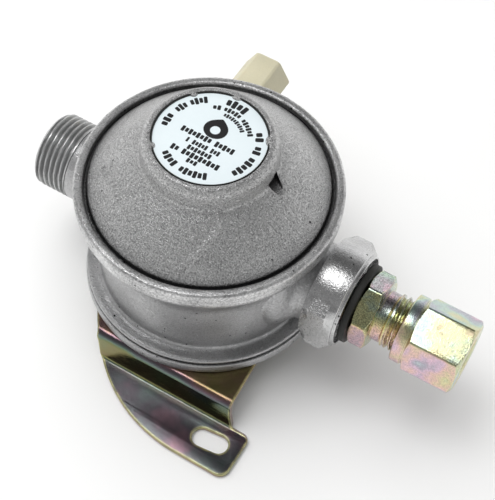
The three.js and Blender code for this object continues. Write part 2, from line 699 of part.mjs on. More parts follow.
// ---------------------------------------------------------------- cover
function springCover() {
  const dome = bulge(vec(domeR, domeFoot), vec(TOWER_FOOT_R, domeTop), -DOME_CROWN, 7);
  const round = arc(TOWER_TOP_R - TOWER_ROUND, towerTop - TOWER_ROUND, TOWER_ROUND, 0, 90, 4);
  const plateWell = PLATE_R + PLATE_MARGIN;
  const bore = ADJUSTER_R + THREAD_GAP;
  const shell = turned(
    [
      [clampedR, coverFlangeBottom],
      [clampedR, coverFlangeTop],
      [domeR, coverFlangeTop],
      ...dome,
      [TOWER_SKIRT_R, domeTop + 1],
      ...round,
      [plateWell, towerTop],
      [plateWell, plateSeat],
      [bore, plateSeat],
      [bore, domeTop - 1.4],
      [TOWER_FOOT_R - 2.6, domeTop - 2.4],
      [CAVITY_R + 0.6, domeFoot + 0.2],
      [CAVITY_R + 0.6, coverFlangeBottom],
    ],
    'z',
    FINE,
  );
  const vent = block(
    [ADJUSTER_R - 1, 1 - VENT_WIDTH / 2, domeTop - 1],
    [TOWER_FOOT_R + VENT_REACH, 1 + VENT_WIDTH / 2, domeTop - 1 + VENT_HEIGHT],
  );
  return shell.subtract(vent);
}

function ratingPlate() {
  return rod(PLATE_R, plateBottom, plateTop, 'z', [0, 0], FINE);
}

// ---------------------------------------------------------------- bottom cover and bracket
function bottomCover() {
  const rimR = FOOT_SPIGOT_R + 0.15;
  const cupOuter = CUP_R + BOTTOM_SKIN;
  const cup = turned(
    [
      [BREATHER_R, cupFloor - BOTTOM_SKIN],
      [cupOuter - 1, cupFloor - BOTTOM_SKIN],
      [cupOuter, cupFloor - BOTTOM_SKIN + 1],
      [cupOuter, bottomFlangeBottom],
      [BOTTOM_FLANGE_R - 0.8, bottomFlangeBottom],
      [BOTTOM_FLANGE_R - 0.15, bottomFlangeBottom + 0.6],
      [BOTTOM_FLANGE_R, bottomFlangeBottom + 1.6],
      [BOTTOM_FLANGE_R - 0.25, bottomFlangeTop + BOTTOM_RIM],
      [rimR, bottomFlangeTop + BOTTOM_RIM],
      [rimR, bottomFlangeTop],
      [STAGE_ONE_R, bottomFlangeTop],
      [STAGE_ONE_R - 1, bottomInnerFloor],
      [CUP_R, bottomInnerFloor],
      [CUP_R, cupFloor],
      [BREATHER_R, cupFloor],
    ],
    'z',
    FINE,
  );
  return cup.subtract(screwHoles(SCREW_R + SCREW_HOLE_GAP, bottomFlangeBottom - 1, bottomFlangeTop + 1));
}

/** Middle line of the bent sheet, from the front foot over the body's foot to the rear foot. */
function bracketLine() {
  const high = bracketTop - SHEET / 2;
  const low = footTop - SHEET / 2;
  const lean = THREE.MathUtils.radToDeg(Math.atan2(STEP_LEAN, BRACKET_STEP));
  const turn = 90 - lean;
  const setback = BEND_RADIUS * Math.tan(THREE.MathUtils.degToRad(turn / 2));
  const lowY = BEND_Y + STEP_LEAN;
  const lowBend = arc(lowY + setback, low + BEND_RADIUS, BEND_RADIUS, 270, 270 - turn, 4);
  const highBend = arc(BEND_Y - setback, high - BEND_RADIUS, BEND_RADIUS, lean, 90, 4);
  const half = [vec(FOOT_REACH + 1, low), ...lowBend, ...highBend];
  const mirrored = half.map((p) => vec(-p.x, p.y)).reverse();
  return [...half, ...mirrored];
}

/** One half of the bracket seen from above; the other half is the same, turned half round. */
function bracketHalfPlan() {
  const right = BRACKET_HALF_WIDTH;
  const tab = BRACKET_HALF_WIDTH + FOOT_TAB;
  const arcY = FOOT_ARC_R - FOOT_REACH;
  const meet = 180 + THREE.MathUtils.radToDeg(Math.asin(0.1));
  return [
    ...arc(FOOT_ARC_X, arcY, FOOT_ARC_R, meet, 270, 12),
    ...arc(tab - TAB_CORNER, -FOOT_REACH + TAB_CORNER, TAB_CORNER, 270, 360, 4),
    ...arc(tab - 2, -NOTCH_Y - 2, 2, 0, 90, 4),
    vec(right + 1, -NOTCH_Y),
    vec(right, -NOTCH_Y + 1),
  ];
}

function slotShape(sign) {
  const radius = SLOT_WIDTH / 2;
  const half = SLOT_LENGTH / 2 - radius;
  const tilt = THREE.MathUtils.degToRad(SLOT_TILT);
  const outline = [...arc(half, 0, radius, -90, 90, 6), ...arc(-half, 0, radius, 90, 270, 6)];
  const centre = vec(0, 0);
  const at = vec(SLOT_X * sign, -SLOT_Y * sign);
  return new THREE.Shape(outline.map((p) => p.rotateAround(centre, tilt).add(at)));
}

function mountingBracket() {
  const bent = prism(new THREE.Shape(sheetOutline(bracketLine(), SHEET)), -40, 40, 'x');
  const half = bracketHalfPlan();
  const other = half.map((p) => vec(-p.x, -p.y));
  const plan = prism(new THREE.Shape([...half, ...other]), footBottom - 1, bracketTop + 1);
  const cupHole = rod(CUP_R + BOTTOM_SKIN + CUP_CLEARANCE, footBottom, bracketTop + 1, 'z', [0, 0], MEDIUM);
  const holes = screwHoles(SCREW_R + SCREW_HOLE_GAP, bracketBottom - 1, bracketTop + 1);
  const slots = [1, -1].map((sign) => prism(slotShape(sign), footBottom - 1, footTop + 1));
  return bent.intersect(plan).subtract(union(cupHole, holes, ...slots));
}

function bracketScrew(at) {
  const top = footFace + SCREW_DEPTH;
  const under = bracketBottom - SEAT_GAP;
  const screw = turned(
    [
      [0, under - SCREW_HEAD],
      [SCREW_HEAD_R - 1.2, under - SCREW_HEAD],
      [SCREW_HEAD_R - 0.2, under - SCREW_HEAD + 1],
      [SCREW_HEAD_R, under],
      [SCREW_R, under],
      [SCREW_R, top - 0.5],
      [SCREW_R - 0.5, top],
      [0, top],
    ],
    'z',
    16,
    at,
  );
  const arm = (dx, dy) =>
    block(
      [at[0] - dx, at[1] - dy, under - SCREW_HEAD - 1],
      [at[0] + dx, at[1] + dy, under - SCREW_HEAD + 1.1],
    );
  return screw.subtract(union(arm(1.9, 0.35), arm(0.35, 1.9)));
}

// ---------------------------------------------------------------- inlet and outlet fittings
function inletFilter() {
  const start = inletBoreEnd - FILTER_STEP - FILTER_THICKNESS;
  return rod(INLET_BORE_R - RUNNING_GAP, start, start + FILTER_THICKNESS, 'x', [0, 0], MEDIUM);
}

function outletSeal() {
  const inner = STUB_SCREW_R + THREAD_GAP;
  const end = sealStart + OUTLET_SEAL;
  return turned(
    [[inner, sealStart], [OUTLET_SEAL_R, sealStart], [OUTLET_SEAL_R, end], [inner, end]],
    'x',
  );
}

function outletStub() {
  const screwStart = stubHexStart - STUB_SCREW_LENGTH;
  const tan = Math.tan(THREE.MathUtils.degToRad(CONE_DEGREES));
  const coneEnd = stubEnd - (CONE_MOUTH_R - pipeBoreR) / tan;
  const body = turned(
    [
      [STUB_BORE_R, screwStart],
      [STUB_SCREW_R - 0.8, screwStart],
      [STUB_SCREW_R, screwStart + 0.8],
      [STUB_SCREW_R, stubHexEnd - 1],
      [STUB_NECK_R, stubHexEnd - 1],
      [STUB_NECK_R, stubThreadStart],
      ...threadPoints(stubThreadStart, stubEnd - 0.5, STUB_THREAD_R),
      [STUB_THREAD_R - THREAD_DEPTH, stubEnd],
      [CONE_MOUTH_R, stubEnd],
      [pipeBoreR, coneEnd],
      [pipeBoreR, stubEnd - PIPE_STOP_DEPTH],
      [STUB_BORE_R, stubEnd - PIPE_STOP_DEPTH],
    ],
    'x',
  );
  const hex = hexBar(STUB_HEX_FLATS, stubHexStart, stubHexEnd, 'x', STUB_HEX_TURN, true, true);
  const way = rod(STUB_SCREW_R - 1, stubHexStart - 1, stubHexEnd + 1, 'x', [0, 0], MEDIUM);
  return union(body, hex.subtract(way));
}

function cuttingRing() {
  return turned(
    [
      [pipeBoreR, ringNose],
      [RING_NOSE_R, ringNose],
      [RING_NOSE_R + 0.45, ringBodyStart],
      [RING_BODY_R, ringBodyStart + 0.05],
      [RING_BODY_R, ringBodyEnd],
      [RING_BODY_R - RING_TAIL, ringBodyEnd + RING_TAIL],
      [pipeBoreR, ringBodyEnd + RING_TAIL],
    ],
    'x',
  );
}

function compressionNut() {
  const collar = turned(
    [
      [nutBoreR, nutStart],
      [NUT_COLLAR_R - 0.4, nutStart],
      [NUT_COLLAR_R, nutStart + 0.4],
      [NUT_COLLAR_R, nutStart + NUT_COLLAR + 0.3],
      [nutBoreR, nutStart + NUT_COLLAR + 0.3],
    ],
    'x',
  );
  const hex = hexBar(NUT_FLATS, nutStart + NUT_COLLAR, nutEnd, 'x', NUT_HEX_TURN, true, true);
  const bore = turned(
    [
      [0, nutStart - 1],
      [nutBoreR, nutStart - 1],
      [nutBoreR, nutConeStart],
      [pipeBoreR + 0.1, nutConeEnd],
      [pipeBoreR + 0.1, nutEnd - 0.6],
      [pipeBoreR + 0.9, nutEnd + 0.2],
      [0, nutEnd + 0.2],
    ],
    'x',
  );
  return union(collar, hex).subtract(bore);
}

// ---------------------------------------------------------------- test point
const TEST_AT = [TEST_X, 0];

function testNipple() {
  const start = TEST_BOSS_REACH - NIPPLE_SCREW_LENGTH;
  const hexStart = TEST_BOSS_REACH + SEAT_GAP;
  const screw = rod(NIPPLE_SCREW_R, start, hexStart + 1, 'y', TEST_AT);
  const hex = hexBar(NIPPLE_FLATS, hexStart, nippleHexEnd, 'y', 0, false, true, TEST_AT);
  const stem = rod(NIPPLE_R, nippleHexEnd - 1, nippleEnd, 'y', TEST_AT, MEDIUM);
  const bore = rod(NIPPLE_BORE_R, start - 1, nippleEnd + 1, 'y', TEST_AT, 12);
  return union(screw, hex, stem).subtract(bore);
}

function testCapSeal() {
  return rod(NIPPLE_R - 0.2, nippleEnd + SEAT_GAP, capSealEnd, 'y', TEST_AT);
}

function testCap() {
  const hex = hexBar(CAP_FLATS, capStart, capEnd, 'y', 0, false, false, TEST_AT);
  return hex.subtract(rod(capBoreR, capStart - 1, capSealEnd + SEAT_GAP, 'y', TEST_AT, MEDIUM));
}

// ---------------------------------------------------------------- diaphragms and springs
/** A clamped rubber disc with one rolled fold between its rim and its centre. */
function foldedDiaphragm(rimR, foldOuterR, foldInnerR, holeR, clampMiddle, centreMiddle, height) {
  const steps = 5;
  const fold = [];
  for (let i = 0; i <= steps; i += 1) {
    const t = i / steps;
    const middle = THREE.MathUtils.lerp(clampMiddle, centreMiddle, t);
    fold.push(vec(THREE.MathUtils.lerp(foldOuterR, foldInnerR, t), middle + height * Math.sin(Math.PI * t)));
  }
  const line = [vec(rimR, clampMiddle), vec(foldOuterR + 0.8, clampMiddle)];
  line.push(...fold, vec(foldInnerR - 0.8, centreMiddle), vec(holeR, centreMiddle));
  return turned(sheetOutline(line, DIAPHRAGM), 'z', 24);
}

function largeDiaphragm() {
  const clampMiddle = LEDGE_Z + SEAT_GAP + DIAPHRAGM / 2;
  const centreMiddle = centreBottom + DIAPHRAGM / 2;
  const outer = CAVITY_R - 1.4;
  const inner = UPPER_PLATE_R + 1.6;
  const rim = clampedR;
  return foldedDiaphragm(rim, outer, inner, HUB_R + SEAT_GAP, clampMiddle, centreMiddle, CONVOLUTION_HEIGHT);
}

function firstStageDiaphragm() {
  const clampMiddle = footFace - SEAT_GAP - DIAPHRAGM / 2;
  const centreMiddle = oneCentreBottom + DIAPHRAGM / 2;
  const outer = STAGE_ONE_R - 1.4;
  const inner = STAGE_ONE_PLATE_R + 1.6;
  const hole = PUSH_PIN_SHANK_R + SEAT_GAP;
  const disc = foldedDiaphragm(FOOT_SPIGOT_R - 0.1, outer, inner, hole, clampMiddle, centreMiddle, 1.6);
  return disc.subtract(screwHoles(SCREW_R + SCREW_HOLE_GAP, footFace - 2, footFace + 1));
}

const washer = (innerR, outerR, from, to, axis = 'z') =>
  turned([[innerR, from], [outerR, from], [outerR, to], [innerR, to]], axis);

const upperPlate = () =>
  turned([
    [HUB_R + SEAT_GAP, upperPlateBottom],
    [UPPER_PLATE_R, upperPlateBottom],
    [UPPER_PLATE_R + 0.6, upperPlateBottom + 1.4],
    [UPPER_PLATE_R - 0.2, upperPlateBottom + 1.5],
    [UPPER_PLATE_R - 0.7, upperPlateTop],
    [HUB_R + SEAT_GAP, upperPlateTop],
  ]);

const lowerPlate = () => washer(HUB_R + SEAT_GAP, LOWER_PLATE_R, lowerPlateBottom, lowerPlateTop);

const diaphragmHub = () =>
  turned([
    [HUB_BORE_R, hubFlangeBottom],
    [HUB_FLANGE_R, hubFlangeBottom],
    [HUB_FLANGE_R, hubFlangeTop],
    [HUB_R, hubFlangeTop],
    [HUB_R, hubLipBottom],
    [HUB_LIP_R, hubLipBottom],
    [HUB_LIP_R, hubTop],
    [HUB_BORE_R, hubTop],
  ]);

// ---------------------------------------------------------------- relief valve
const tipTop = TIP_Z + TIP_THICKNESS / 2;
const tipBottom = TIP_Z - TIP_THICKNESS / 2;
const windowBottom = tipBottom - STIRRUP_PLAY_BELOW;
const windowTop = tipTop + STIRRUP_PLAY_ABOVE;

function reliefStem() {
  const rodPart = turned(
    [
      [0, stemDiscBottom],
      [STEM_DISC_R, stemDiscBottom],
      [STEM_DISC_R, stemDiscTop],
      [STEM_R, stemDiscTop],
      [STEM_R, reliefNutTop + 0.5],
      [0, reliefNutTop + 0.5],
    ],
    'z',
    COARSE,
  );
  const stirrup = block(
    [-STIRRUP_HALF_X, -STIRRUP_HALF_Y, windowBottom - STIRRUP_BAR],
    [STIRRUP_HALF_X, STIRRUP_HALF_Y, stemDiscBottom + 0.2],
  );
  const inner = STIRRUP_HALF_X - STIRRUP_SIDE + 0.2;
  const window = block([-inner, -STIRRUP_HALF_Y - 1, windowBottom], [inner, STIRRUP_HALF_Y + 1, windowTop]);
  return rodPart.add(stirrup.subtract(window));
}

const reliefPad = () => washer(STEM_R + SEAT_GAP, STEM_DISC_R, stemDiscTop + SEAT_GAP, reliefPadTop);

const reliefCap = () => washer(STEM_R + SEAT_GAP, RELIEF_CAP_R, reliefCapBottom, reliefCapTop);

function reliefNut() {
  const bottom = reliefCapTop + SEAT_GAP;
  return hexBar(RELIEF_NUT_FLATS, bottom, reliefNutTop, 'z', 0, false, true).subtract(
    rod(STEM_R + THREAD_GAP, bottom - 1, reliefNutTop + 1),
  );
}

// ---------------------------------------------------------------- lever and second-stage valve
function valveLever() {
  const outline = new THREE.Shape([
    vec(PIVOT_Y - SHORT_ARM_HALF, SHORT_ARM_TOP),
    vec(PIVOT_Y + SHORT_ARM_HALF, SHORT_ARM_TOP),
    vec(PIVOT_Y + SHORT_ARM_HALF, PIVOT_Z + 2.4),
    vec(PIVOT_Y + 2, PIVOT_Z + 2),
    vec(-STIRRUP_HALF_Y - 2.1, tipTop),
    vec(TIP_REACH, tipTop),
    vec(TIP_REACH, tipBottom),
    vec(-STIRRUP_HALF_Y - 1.6, tipBottom),
    vec(PIVOT_Y + 2.8, PIVOT_Z - 0.6),
    ...arc(PIVOT_Y, PIVOT_Z, LEVER_HUB_R, -45, -200, 8),
    vec(PIVOT_Y - SHORT_ARM_HALF, PIVOT_Z + 2.9),
  ]);
  const plate = prism(outline, -LEVER_HALF_WIDTH, LEVER_HALF_WIDTH, 'x');
  const reach = LEVER_HALF_WIDTH + 1;
  return plate.subtract(rod(PIN_R + RUNNING_GAP, -reach, reach, 'x', [PIVOT_Y, PIVOT_Z], 16));
}

const leverPin = () => rod(PIN_R, -CHEEK_OUTER, CHEEK_OUTER, 'x', [PIVOT_Y, PIVOT_Z], 16);

function valvePlunger() {
  const halfX = CHEEK_INNER - RUNNING_GAP * 2;
  const railX = CHEEK_INNER + RAIL_DEPTH - RUNNING_GAP * 2;
  const bar = block(
    [-halfX, PLUNGER_HEAD_Y - PLUNGER_HEAD, VALVE_Z - PLUNGER_HALF_Z],
    [halfX, PLUNGER_BACK_Y, VALVE_Z + PLUNGER_HALF_Z],
  );
  const head = block(
    [-halfX, PLUNGER_HEAD_Y - PLUNGER_HEAD, VALVE_Z - PLUNGER_HEAD_HALF_Z],
    [halfX, PLUNGER_HEAD_Y, VALVE_Z + PLUNGER_HEAD_HALF_Z],
  );
  const rails = block(
    [-railX, PLUNGER_HEAD_Y, VALVE_Z - RAIL_HALF],
    [railX, PLUNGER_BACK_Y, VALVE_Z + RAIL_HALF],
  );
  const slotX = LEVER_HALF_WIDTH + 0.2;
  const slot = block(
    [-slotX, PIVOT_Y - PLUNGER_SLOT_HALF, VALVE_Z - 3],
    [slotX, PIVOT_Y + PLUNGER_SLOT_HALF, VALVE_Z + 3],
  );
  return union(bar, head, rails).subtract(slot);
}

function valvePad() {
  const back = padFace + PAD - SEAT_GAP;
  return rod(PAD_R, padFace, back, 'y', [0, VALVE_Z]);
}

function valveNozzle() {
  return turned(
    [
      [NOZZLE_BORE_R, nozzleFace - NOZZLE_SCREW_LENGTH],
      [NOZZLE_SCREW_R, nozzleFace - NOZZLE_SCREW_LENGTH],
      [NOZZLE_SCREW_R, nozzleFace],
      [NOZZLE_FLANGE_R, nozzleFace],
      [NOZZLE_FLANGE_R, nozzleFace + NOZZLE_FLANGE],
      [NOZZLE_TIP_R + 0.4, nozzleFace + NOZZLE_FLANGE],
      [NOZZLE_TIP_R, nozzleTip],
      [NOZZLE_BORE_R, nozzleTip],
    ],
    'y',
    COARSE,
    [0, VALVE_Z],
  );
}

// ---------------------------------------------------------------- adjuster
const springSeat = () => washer(5, ADJUSTER_R - 0.4, seatDiscBottom, seatDiscTop);

function adjustingScrew() {
  const socket = prism(hexagon(ADJUSTER_SOCKET_FLATS, 0), adjusterBottom - 1, adjusterTop + 1);
  return rod(ADJUSTER_R, adjusterBottom, adjusterTop, 'z', [0, 0], MEDIUM).subtract(socket);
}

// ---------------------------------------------------------------- first stage
const stageOneUpperPlate = () =>
  washer(PUSH_PIN_SHANK_R + SEAT_GAP, STAGE_ONE_PLATE_R, oneCentreTop + SEAT_GAP, onePlateTop);

const stageOneLowerPlate = () =>
  washer(PUSH_PIN_SHANK_R + SEAT_GAP, STAGE_ONE_PLATE_R, oneLowerPlateBottom, oneCentreBottom - SEAT_GAP);

function pushPin() {
  const headTop = oneLowerPlateBottom - SEAT_GAP;
  const shoulder = onePlateTop + SEAT_GAP;
  return turned(
    [
      [0, headTop - PUSH_PIN_HEAD],
      [PUSH_PIN_HEAD_R, headTop - PUSH_PIN_HEAD],
      [PUSH_PIN_HEAD_R, headTop],
      [PUSH_PIN_SHANK_R, headTop],
      [PUSH_PIN_SHANK_R, shoulder],
      [PUSH_PIN_HEAD_R, shoulder],
      [PUSH_PIN_HEAD_R, shoulder + PUSH_PIN_HEAD],
      [PUSH_PIN_R, shoulder + PUSH_PIN_HEAD],
      [PUSH_PIN_R, poppetPadBottom - SEAT_GAP],
      [0, poppetPadBottom - SEAT_GAP],
    ],
    'z',
    COARSE,
  );
}

function stageOneSeat() {
  return turned(
    [
      [SEAT_BORE_R, stageOneRoof],
      [SEAT_R, stageOneRoof],
      [SEAT_R, seatTop - SEAT_LIP],
      [SEAT_BORE_R + 0.8, seatTop - SEAT_LIP],
      [SEAT_BORE_R + 0.4, seatTop],
      [SEAT_BORE_R, seatTop],
    ],
    'z',
    COARSE,
  );
}

function poppet() {
  return turned(
    [
      [0, poppetPadTop + SEAT_GAP],
      [POPPET_R, poppetPadTop + SEAT_GAP],
      [POPPET_R, poppetTop],
      [POPPET_PIN_R, poppetTop],
      [POPPET_PIN_R, poppetTop + POPPET_PIN],
      [0, poppetTop + POPPET_PIN],
    ],
    'z',
    COARSE,
  );
}

const poppetPad = () => rod(POPPET_R - 0.2, poppetPadBottom, poppetPadTop);

function stageOnePlug() {
  const top = BOSS_TOP_Z - SEAT_GAP;
  const plug = turned(
    [
      [0, plugCeiling],
      [PLUG_POCKET_R, plugCeiling],
      [PLUG_POCKET_R, plugBottom],
      [PLUG_R, plugBottom],
      [PLUG_R, top],
      [0, top],
    ],
    'z',
    COARSE,
  );
  const slot = block([-PLUG_R, -PLUG_SLOT / 2, top - 0.5], [PLUG_R, PLUG_SLOT / 2, top + 1]);
  return plug.subtract(slot);
}

// ---------------------------------------------------------------- assembly
/** A named mesh from a solid. */
function piece(name, solid, finish) {
  const { vertProperties, triVerts } = solid.getMesh();
  const geometry = new THREE.BufferGeometry();
  geometry.setAttribute('position', new THREE.BufferAttribute(new Float32Array(vertProperties), 3));
  geometry.setIndex(new THREE.BufferAttribute(new Uint32Array(triVerts), 1));
  geometry.computeVertexNormals();
  const mesh = new THREE.Mesh(geometry, finish);
  mesh.name = name;
  return mesh;
}

function housing() {
  const group = new THREE.Group();
  group.add(
    piece('body_casting', bodyCasting(), CAST_SMOOTH),
    piece('spring_cover', springCover(), CAST),
    piece('rating_plate', ratingPlate(), LABEL),
    piece('bottom_cover', bottomCover(), CAST_SMOOTH),
    piece('mounting_bracket', mountingBracket(), YELLOW_ZINC),
    ...screwPlaces.map((at, i) => piece(`bracket_screw_${i + 1}`, bracketScrew(at), STEEL)),
  );
  return group;
}

function fittings() {
  const group = new THREE.Group();
  group.add(
    piece('inlet_filter', inletFilter(), STEEL),
    piece('outlet_seal', outletSeal(), RUBBER),
    piece('outlet_stub', outletStub(), YELLOW_ZINC),
    piece('cutting_ring', cuttingRing(), BRASS),
    piece('compression_nut', compressionNut(), YELLOW_ZINC),
    piece('test_nipple', testNipple(), BRASS),
    piece('test_cap_seal', testCapSeal(), RUBBER),
    piece('test_cap', testCap(), BEIGE),
  );
  return group;
}

function secondStage() {
  const group = new THREE.Group();
  const mainSpring = spring(MAIN_COIL_R, MAIN_WIRE, upperPlateTop, seatDiscBottom, MAIN_TURNS);
  const reliefSpring = spring(RELIEF_COIL_R, RELIEF_WIRE, hubTop, reliefCapBottom, RELIEF_TURNS);
  group.add(
    piece('adjusting_screw', adjustingScrew(), BLACK_PLASTIC),
    piece('spring_seat', springSeat(), BLACK_PLASTIC),
    piece('main_spring', mainSpring, SPRING_STEEL),
    piece('large_diaphragm', largeDiaphragm(), RUBBER),
    piece('upper_diaphragm_plate', upperPlate(), STEEL),
    piece('lower_diaphragm_plate', lowerPlate(), STEEL),
    piece('diaphragm_hub', diaphragmHub(), BRASS),
    piece('relief_stem', reliefStem(), BRASS),
    piece('relief_pad', reliefPad(), RUBBER),
    piece('relief_spring', reliefSpring, SPRING_STEEL),
    piece('relief_spring_cap', reliefCap(), STEEL),
    piece('relief_nut', reliefNut(), STEEL),
    piece('valve_lever', valveLever(), STEEL),
    piece('lever_pin', leverPin(), STEEL),
    piece('valve_plunger', valvePlunger(), BRASS),
    piece('valve_pad', valvePad(), RUBBER),
    piece('valve_nozzle', valveNozzle(), BRASS),
  );
  return group;
}

function firstStage() {
  const group = new THREE.Group();
  const firstSpring = spring(FIRST_COIL_R, FIRST_WIRE, cupFloor, oneLowerPlateBottom, FIRST_TURNS);
  const poppetSpring = spring(POPPET_COIL_R, POPPET_WIRE, poppetTop, plugCeiling, POPPET_TURNS);
  group.add(
    piece('first_stage_diaphragm', firstStageDiaphragm(), RUBBER),
    piece('first_stage_upper_plate', stageOneUpperPlate(), STEEL),
    piece('first_stage_lower_plate', stageOneLowerPlate(), STEEL),
    piece('push_pin', pushPin(), BRASS),
    piece('first_stage_spring', firstSpring, SPRING_STEEL),
    piece('first_stage_seat', stageOneSeat(), BRASS),
    piece('poppet', poppet(), BRASS),
    piece('poppet_pad', poppetPad(), RUBBER),
    piece('poppet_spring', poppetSpring, SPRING_STEEL),
    piece('first_stage_plug', stageOnePlug(), BRASS),
  );
  return group;
}

const regulator = new THREE.Group();
regulator.add(housing(), fittings(), secondStage(), firstStage());
const middleX = (nutEnd + inletEnd) / 2;
const middleY = (capEnd - FOOT_REACH) / 2;
regulator.position.set(-middleX, -middleY, -footBottom);

export default regulator;
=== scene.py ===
"""Looks of a two-stage caravan gas pressure regulator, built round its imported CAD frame.

Lengths are metres. Places along the regulator's own axes are measured from the datum, the
crossing of its upright axis and its flow axis, which is read from the frame.
"""

from __future__ import annotations

import logging
import math
from collections.abc import Callable, Iterable, Sequence
from dataclasses import dataclass
from enum import Enum

import bmesh
import bpy
import numpy as np
from bpy.types import Material, Mesh, Node, NodeSocket, NodeTree, Object
from mathutils import Matrix, Vector

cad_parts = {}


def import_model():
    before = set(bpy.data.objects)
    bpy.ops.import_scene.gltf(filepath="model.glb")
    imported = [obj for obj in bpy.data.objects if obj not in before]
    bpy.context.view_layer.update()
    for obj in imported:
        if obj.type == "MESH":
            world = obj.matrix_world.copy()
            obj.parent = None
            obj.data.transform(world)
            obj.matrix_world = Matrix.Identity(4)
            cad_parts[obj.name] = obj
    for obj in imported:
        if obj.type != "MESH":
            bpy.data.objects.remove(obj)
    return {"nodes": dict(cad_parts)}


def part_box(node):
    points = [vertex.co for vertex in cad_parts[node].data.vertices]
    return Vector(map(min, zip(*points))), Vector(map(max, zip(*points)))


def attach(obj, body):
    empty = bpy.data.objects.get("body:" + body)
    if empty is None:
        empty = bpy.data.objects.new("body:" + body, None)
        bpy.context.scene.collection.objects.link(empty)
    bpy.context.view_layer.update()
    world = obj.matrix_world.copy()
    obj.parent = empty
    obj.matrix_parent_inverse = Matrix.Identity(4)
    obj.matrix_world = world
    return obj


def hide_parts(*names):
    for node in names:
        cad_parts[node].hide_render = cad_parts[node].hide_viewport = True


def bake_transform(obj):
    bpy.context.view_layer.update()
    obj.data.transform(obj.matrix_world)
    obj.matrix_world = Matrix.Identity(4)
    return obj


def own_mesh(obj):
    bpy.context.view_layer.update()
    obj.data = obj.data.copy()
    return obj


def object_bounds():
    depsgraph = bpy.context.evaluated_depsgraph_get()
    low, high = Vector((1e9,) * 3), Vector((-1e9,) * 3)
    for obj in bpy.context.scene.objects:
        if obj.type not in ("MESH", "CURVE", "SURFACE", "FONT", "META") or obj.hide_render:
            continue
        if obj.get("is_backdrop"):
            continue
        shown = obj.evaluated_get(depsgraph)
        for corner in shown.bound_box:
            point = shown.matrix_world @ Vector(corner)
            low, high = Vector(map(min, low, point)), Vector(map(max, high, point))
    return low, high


LOG = logging.getLogger("regulator")
TURN = 2 * math.pi
SQUARE = ((-1, -1), (1, -1), (1, 1), (-1, 1))

Colour = tuple[float, float, float]
Corner = tuple[float, ...]  # radius or across, height, and an optional rounding of its own
Outline = list[tuple[float, float]]
RadiusRule = Callable[[float, float, float], float]


class Axis(Enum):
    """The axis that a turned piece is turned about."""

    X = "x"
    Y = "y"
    Z = "z"


class Body(Enum):
    """The moving bodies of the frame that new pieces ride on."""

    HOUSING = "housing"
    OLIVE = "olive"
    NUT = "nut"
    CAP_WASHER = "cap_washer"
    CAP = "cap"
    DIAPHRAGM = "diaphragm_plates"
    FIRST_STAGE = "first_stage_plates"
    POPPET = "first_stage_poppet"


class Slot(Enum):
    """The record's material slots."""

    COVER = "cast_cover"
    CAST = "cast_body"
    LABEL = "rating_label"
    YELLOW = "yellow_zinc"
    RAINBOW = "rainbow_zinc"
    STEEL = "steel"
    SPRING = "spring_steel"
    BRASS = "brass"
    RUBBER = "rubber"
    BEIGE = "beige_plastic"
    BLACK = "black_plastic"


# ------------------------------------------------------------------ outlines and radius rules
def lerp(a: float, b: float, share: float) -> float:
    """The value at a share of the way from a to b."""
    return a + (b - a) * share


def ease(share: float) -> float:
    """A share from 0 to 1 with a smooth start and end, held at 0 and 1 beyond them."""
    held = min(1.0, max(0.0, share))
    return held * held * (3 - 2 * held)


def spaced(start: float, end: float, count: int) -> list[float]:
    """Evenly spaced values, both ends included.

    Args:
        start: The first value.
        end: The last value.
        count: How many steps lie between them.

    Returns:
        The values in order.
    """
    return [lerp(start, end, i / count) for i in range(count + 1)]


def rounded(corners: Sequence[Corner], radius: float, steps: int = 4, closed: bool = False) -> Outline:
    """Rounds the corners of an outline.

    Args:
        corners: Two coordinates each, and a third where a corner has a rounding of its own.
        radius: How far from a corner its rounding starts.
        steps: Steps in each rounding.
        closed: Whether the last corner is joined to the first.

    Returns:
        The outline with each inner corner replaced by a short curve.
    """
    points: Outline = []
    last = len(corners) - 1
    for i, corner in enumerate(corners):
        here = Vector(corner[:2])
        if not closed and i in (0, last):
            points.append(tuple(here))
            continue
        before = Vector(corners[i - 1][:2]) - here
        after = Vector(corners[(i + 1) % len(corners)][:2]) - here
        own = corner[2] if len(corner) > 2 else radius
        reach = min(own, before.length * 0.45, after.length * 0.45)
        if reach < 1e-6:
            points.append(tuple(here))
            continue
        start, end = here + before.normalized() * reach, here + after.normalized() * reach
        for share in spaced(0, 1, steps):
            points.append(tuple(start.lerp(here, share).lerp(here.lerp(end, share), share)))
    return points


def arc(centre: tuple[float, float], radius: float, start: float, end: float, steps: int) -> Outline:
    """Points of a circular arc.

    Args:
        centre: Its centre.
        radius: Its radius.
        start: The first angle, in degrees.
        end: The last angle, in degrees.
        steps: Steps between them.

    Returns:
        The points in order.
    """
    angles = [math.radians(a) for a in spaced(start, end, steps)]
    return [(centre[0] + radius * math.cos(a), centre[1] + radius * math.sin(a)) for a in angles]


@dataclass(frozen=True)
class Thread:
    """A helical screw thread on a turned piece."""

    start: float
    end: float
    crest: float
    pitch: float = 0.0015
    depth: float = 0.0009
    runs_out_at_start: bool = True
    steps_per_pitch: int = 8
    runout: float = 0.0008
    crest_share: float = 0.2

    def stations(self) -> Outline:
        """Outline points close enough together to carry the thread."""
        steps = round((self.end - self.start) / self.pitch * self.steps_per_pitch)
        return [(self.crest, height) for height in spaced(self.start, self.end, steps)]

    def radius(self, radius: float, height: float, angle: float) -> float:
        """The radius rule of the thread.

        Args:
            radius: The plain outline's radius.
            height: Place along the axis.
            angle: Place round the axis.

        Returns:
            The radius with the groove cut.
        """
        if not self.start <= height <= self.end:
            return radius
        phase = (height / self.pitch - angle / TURN) % 1
        groove = min(1.0, max(0.0, (abs(phase - 0.5) * 2 - self.crest_share) / (0.92 - self.crest_share)))
        into = height - self.start if self.runs_out_at_start else self.end - height
        return min(radius, self.crest - self.depth * groove * ease(into / self.runout))


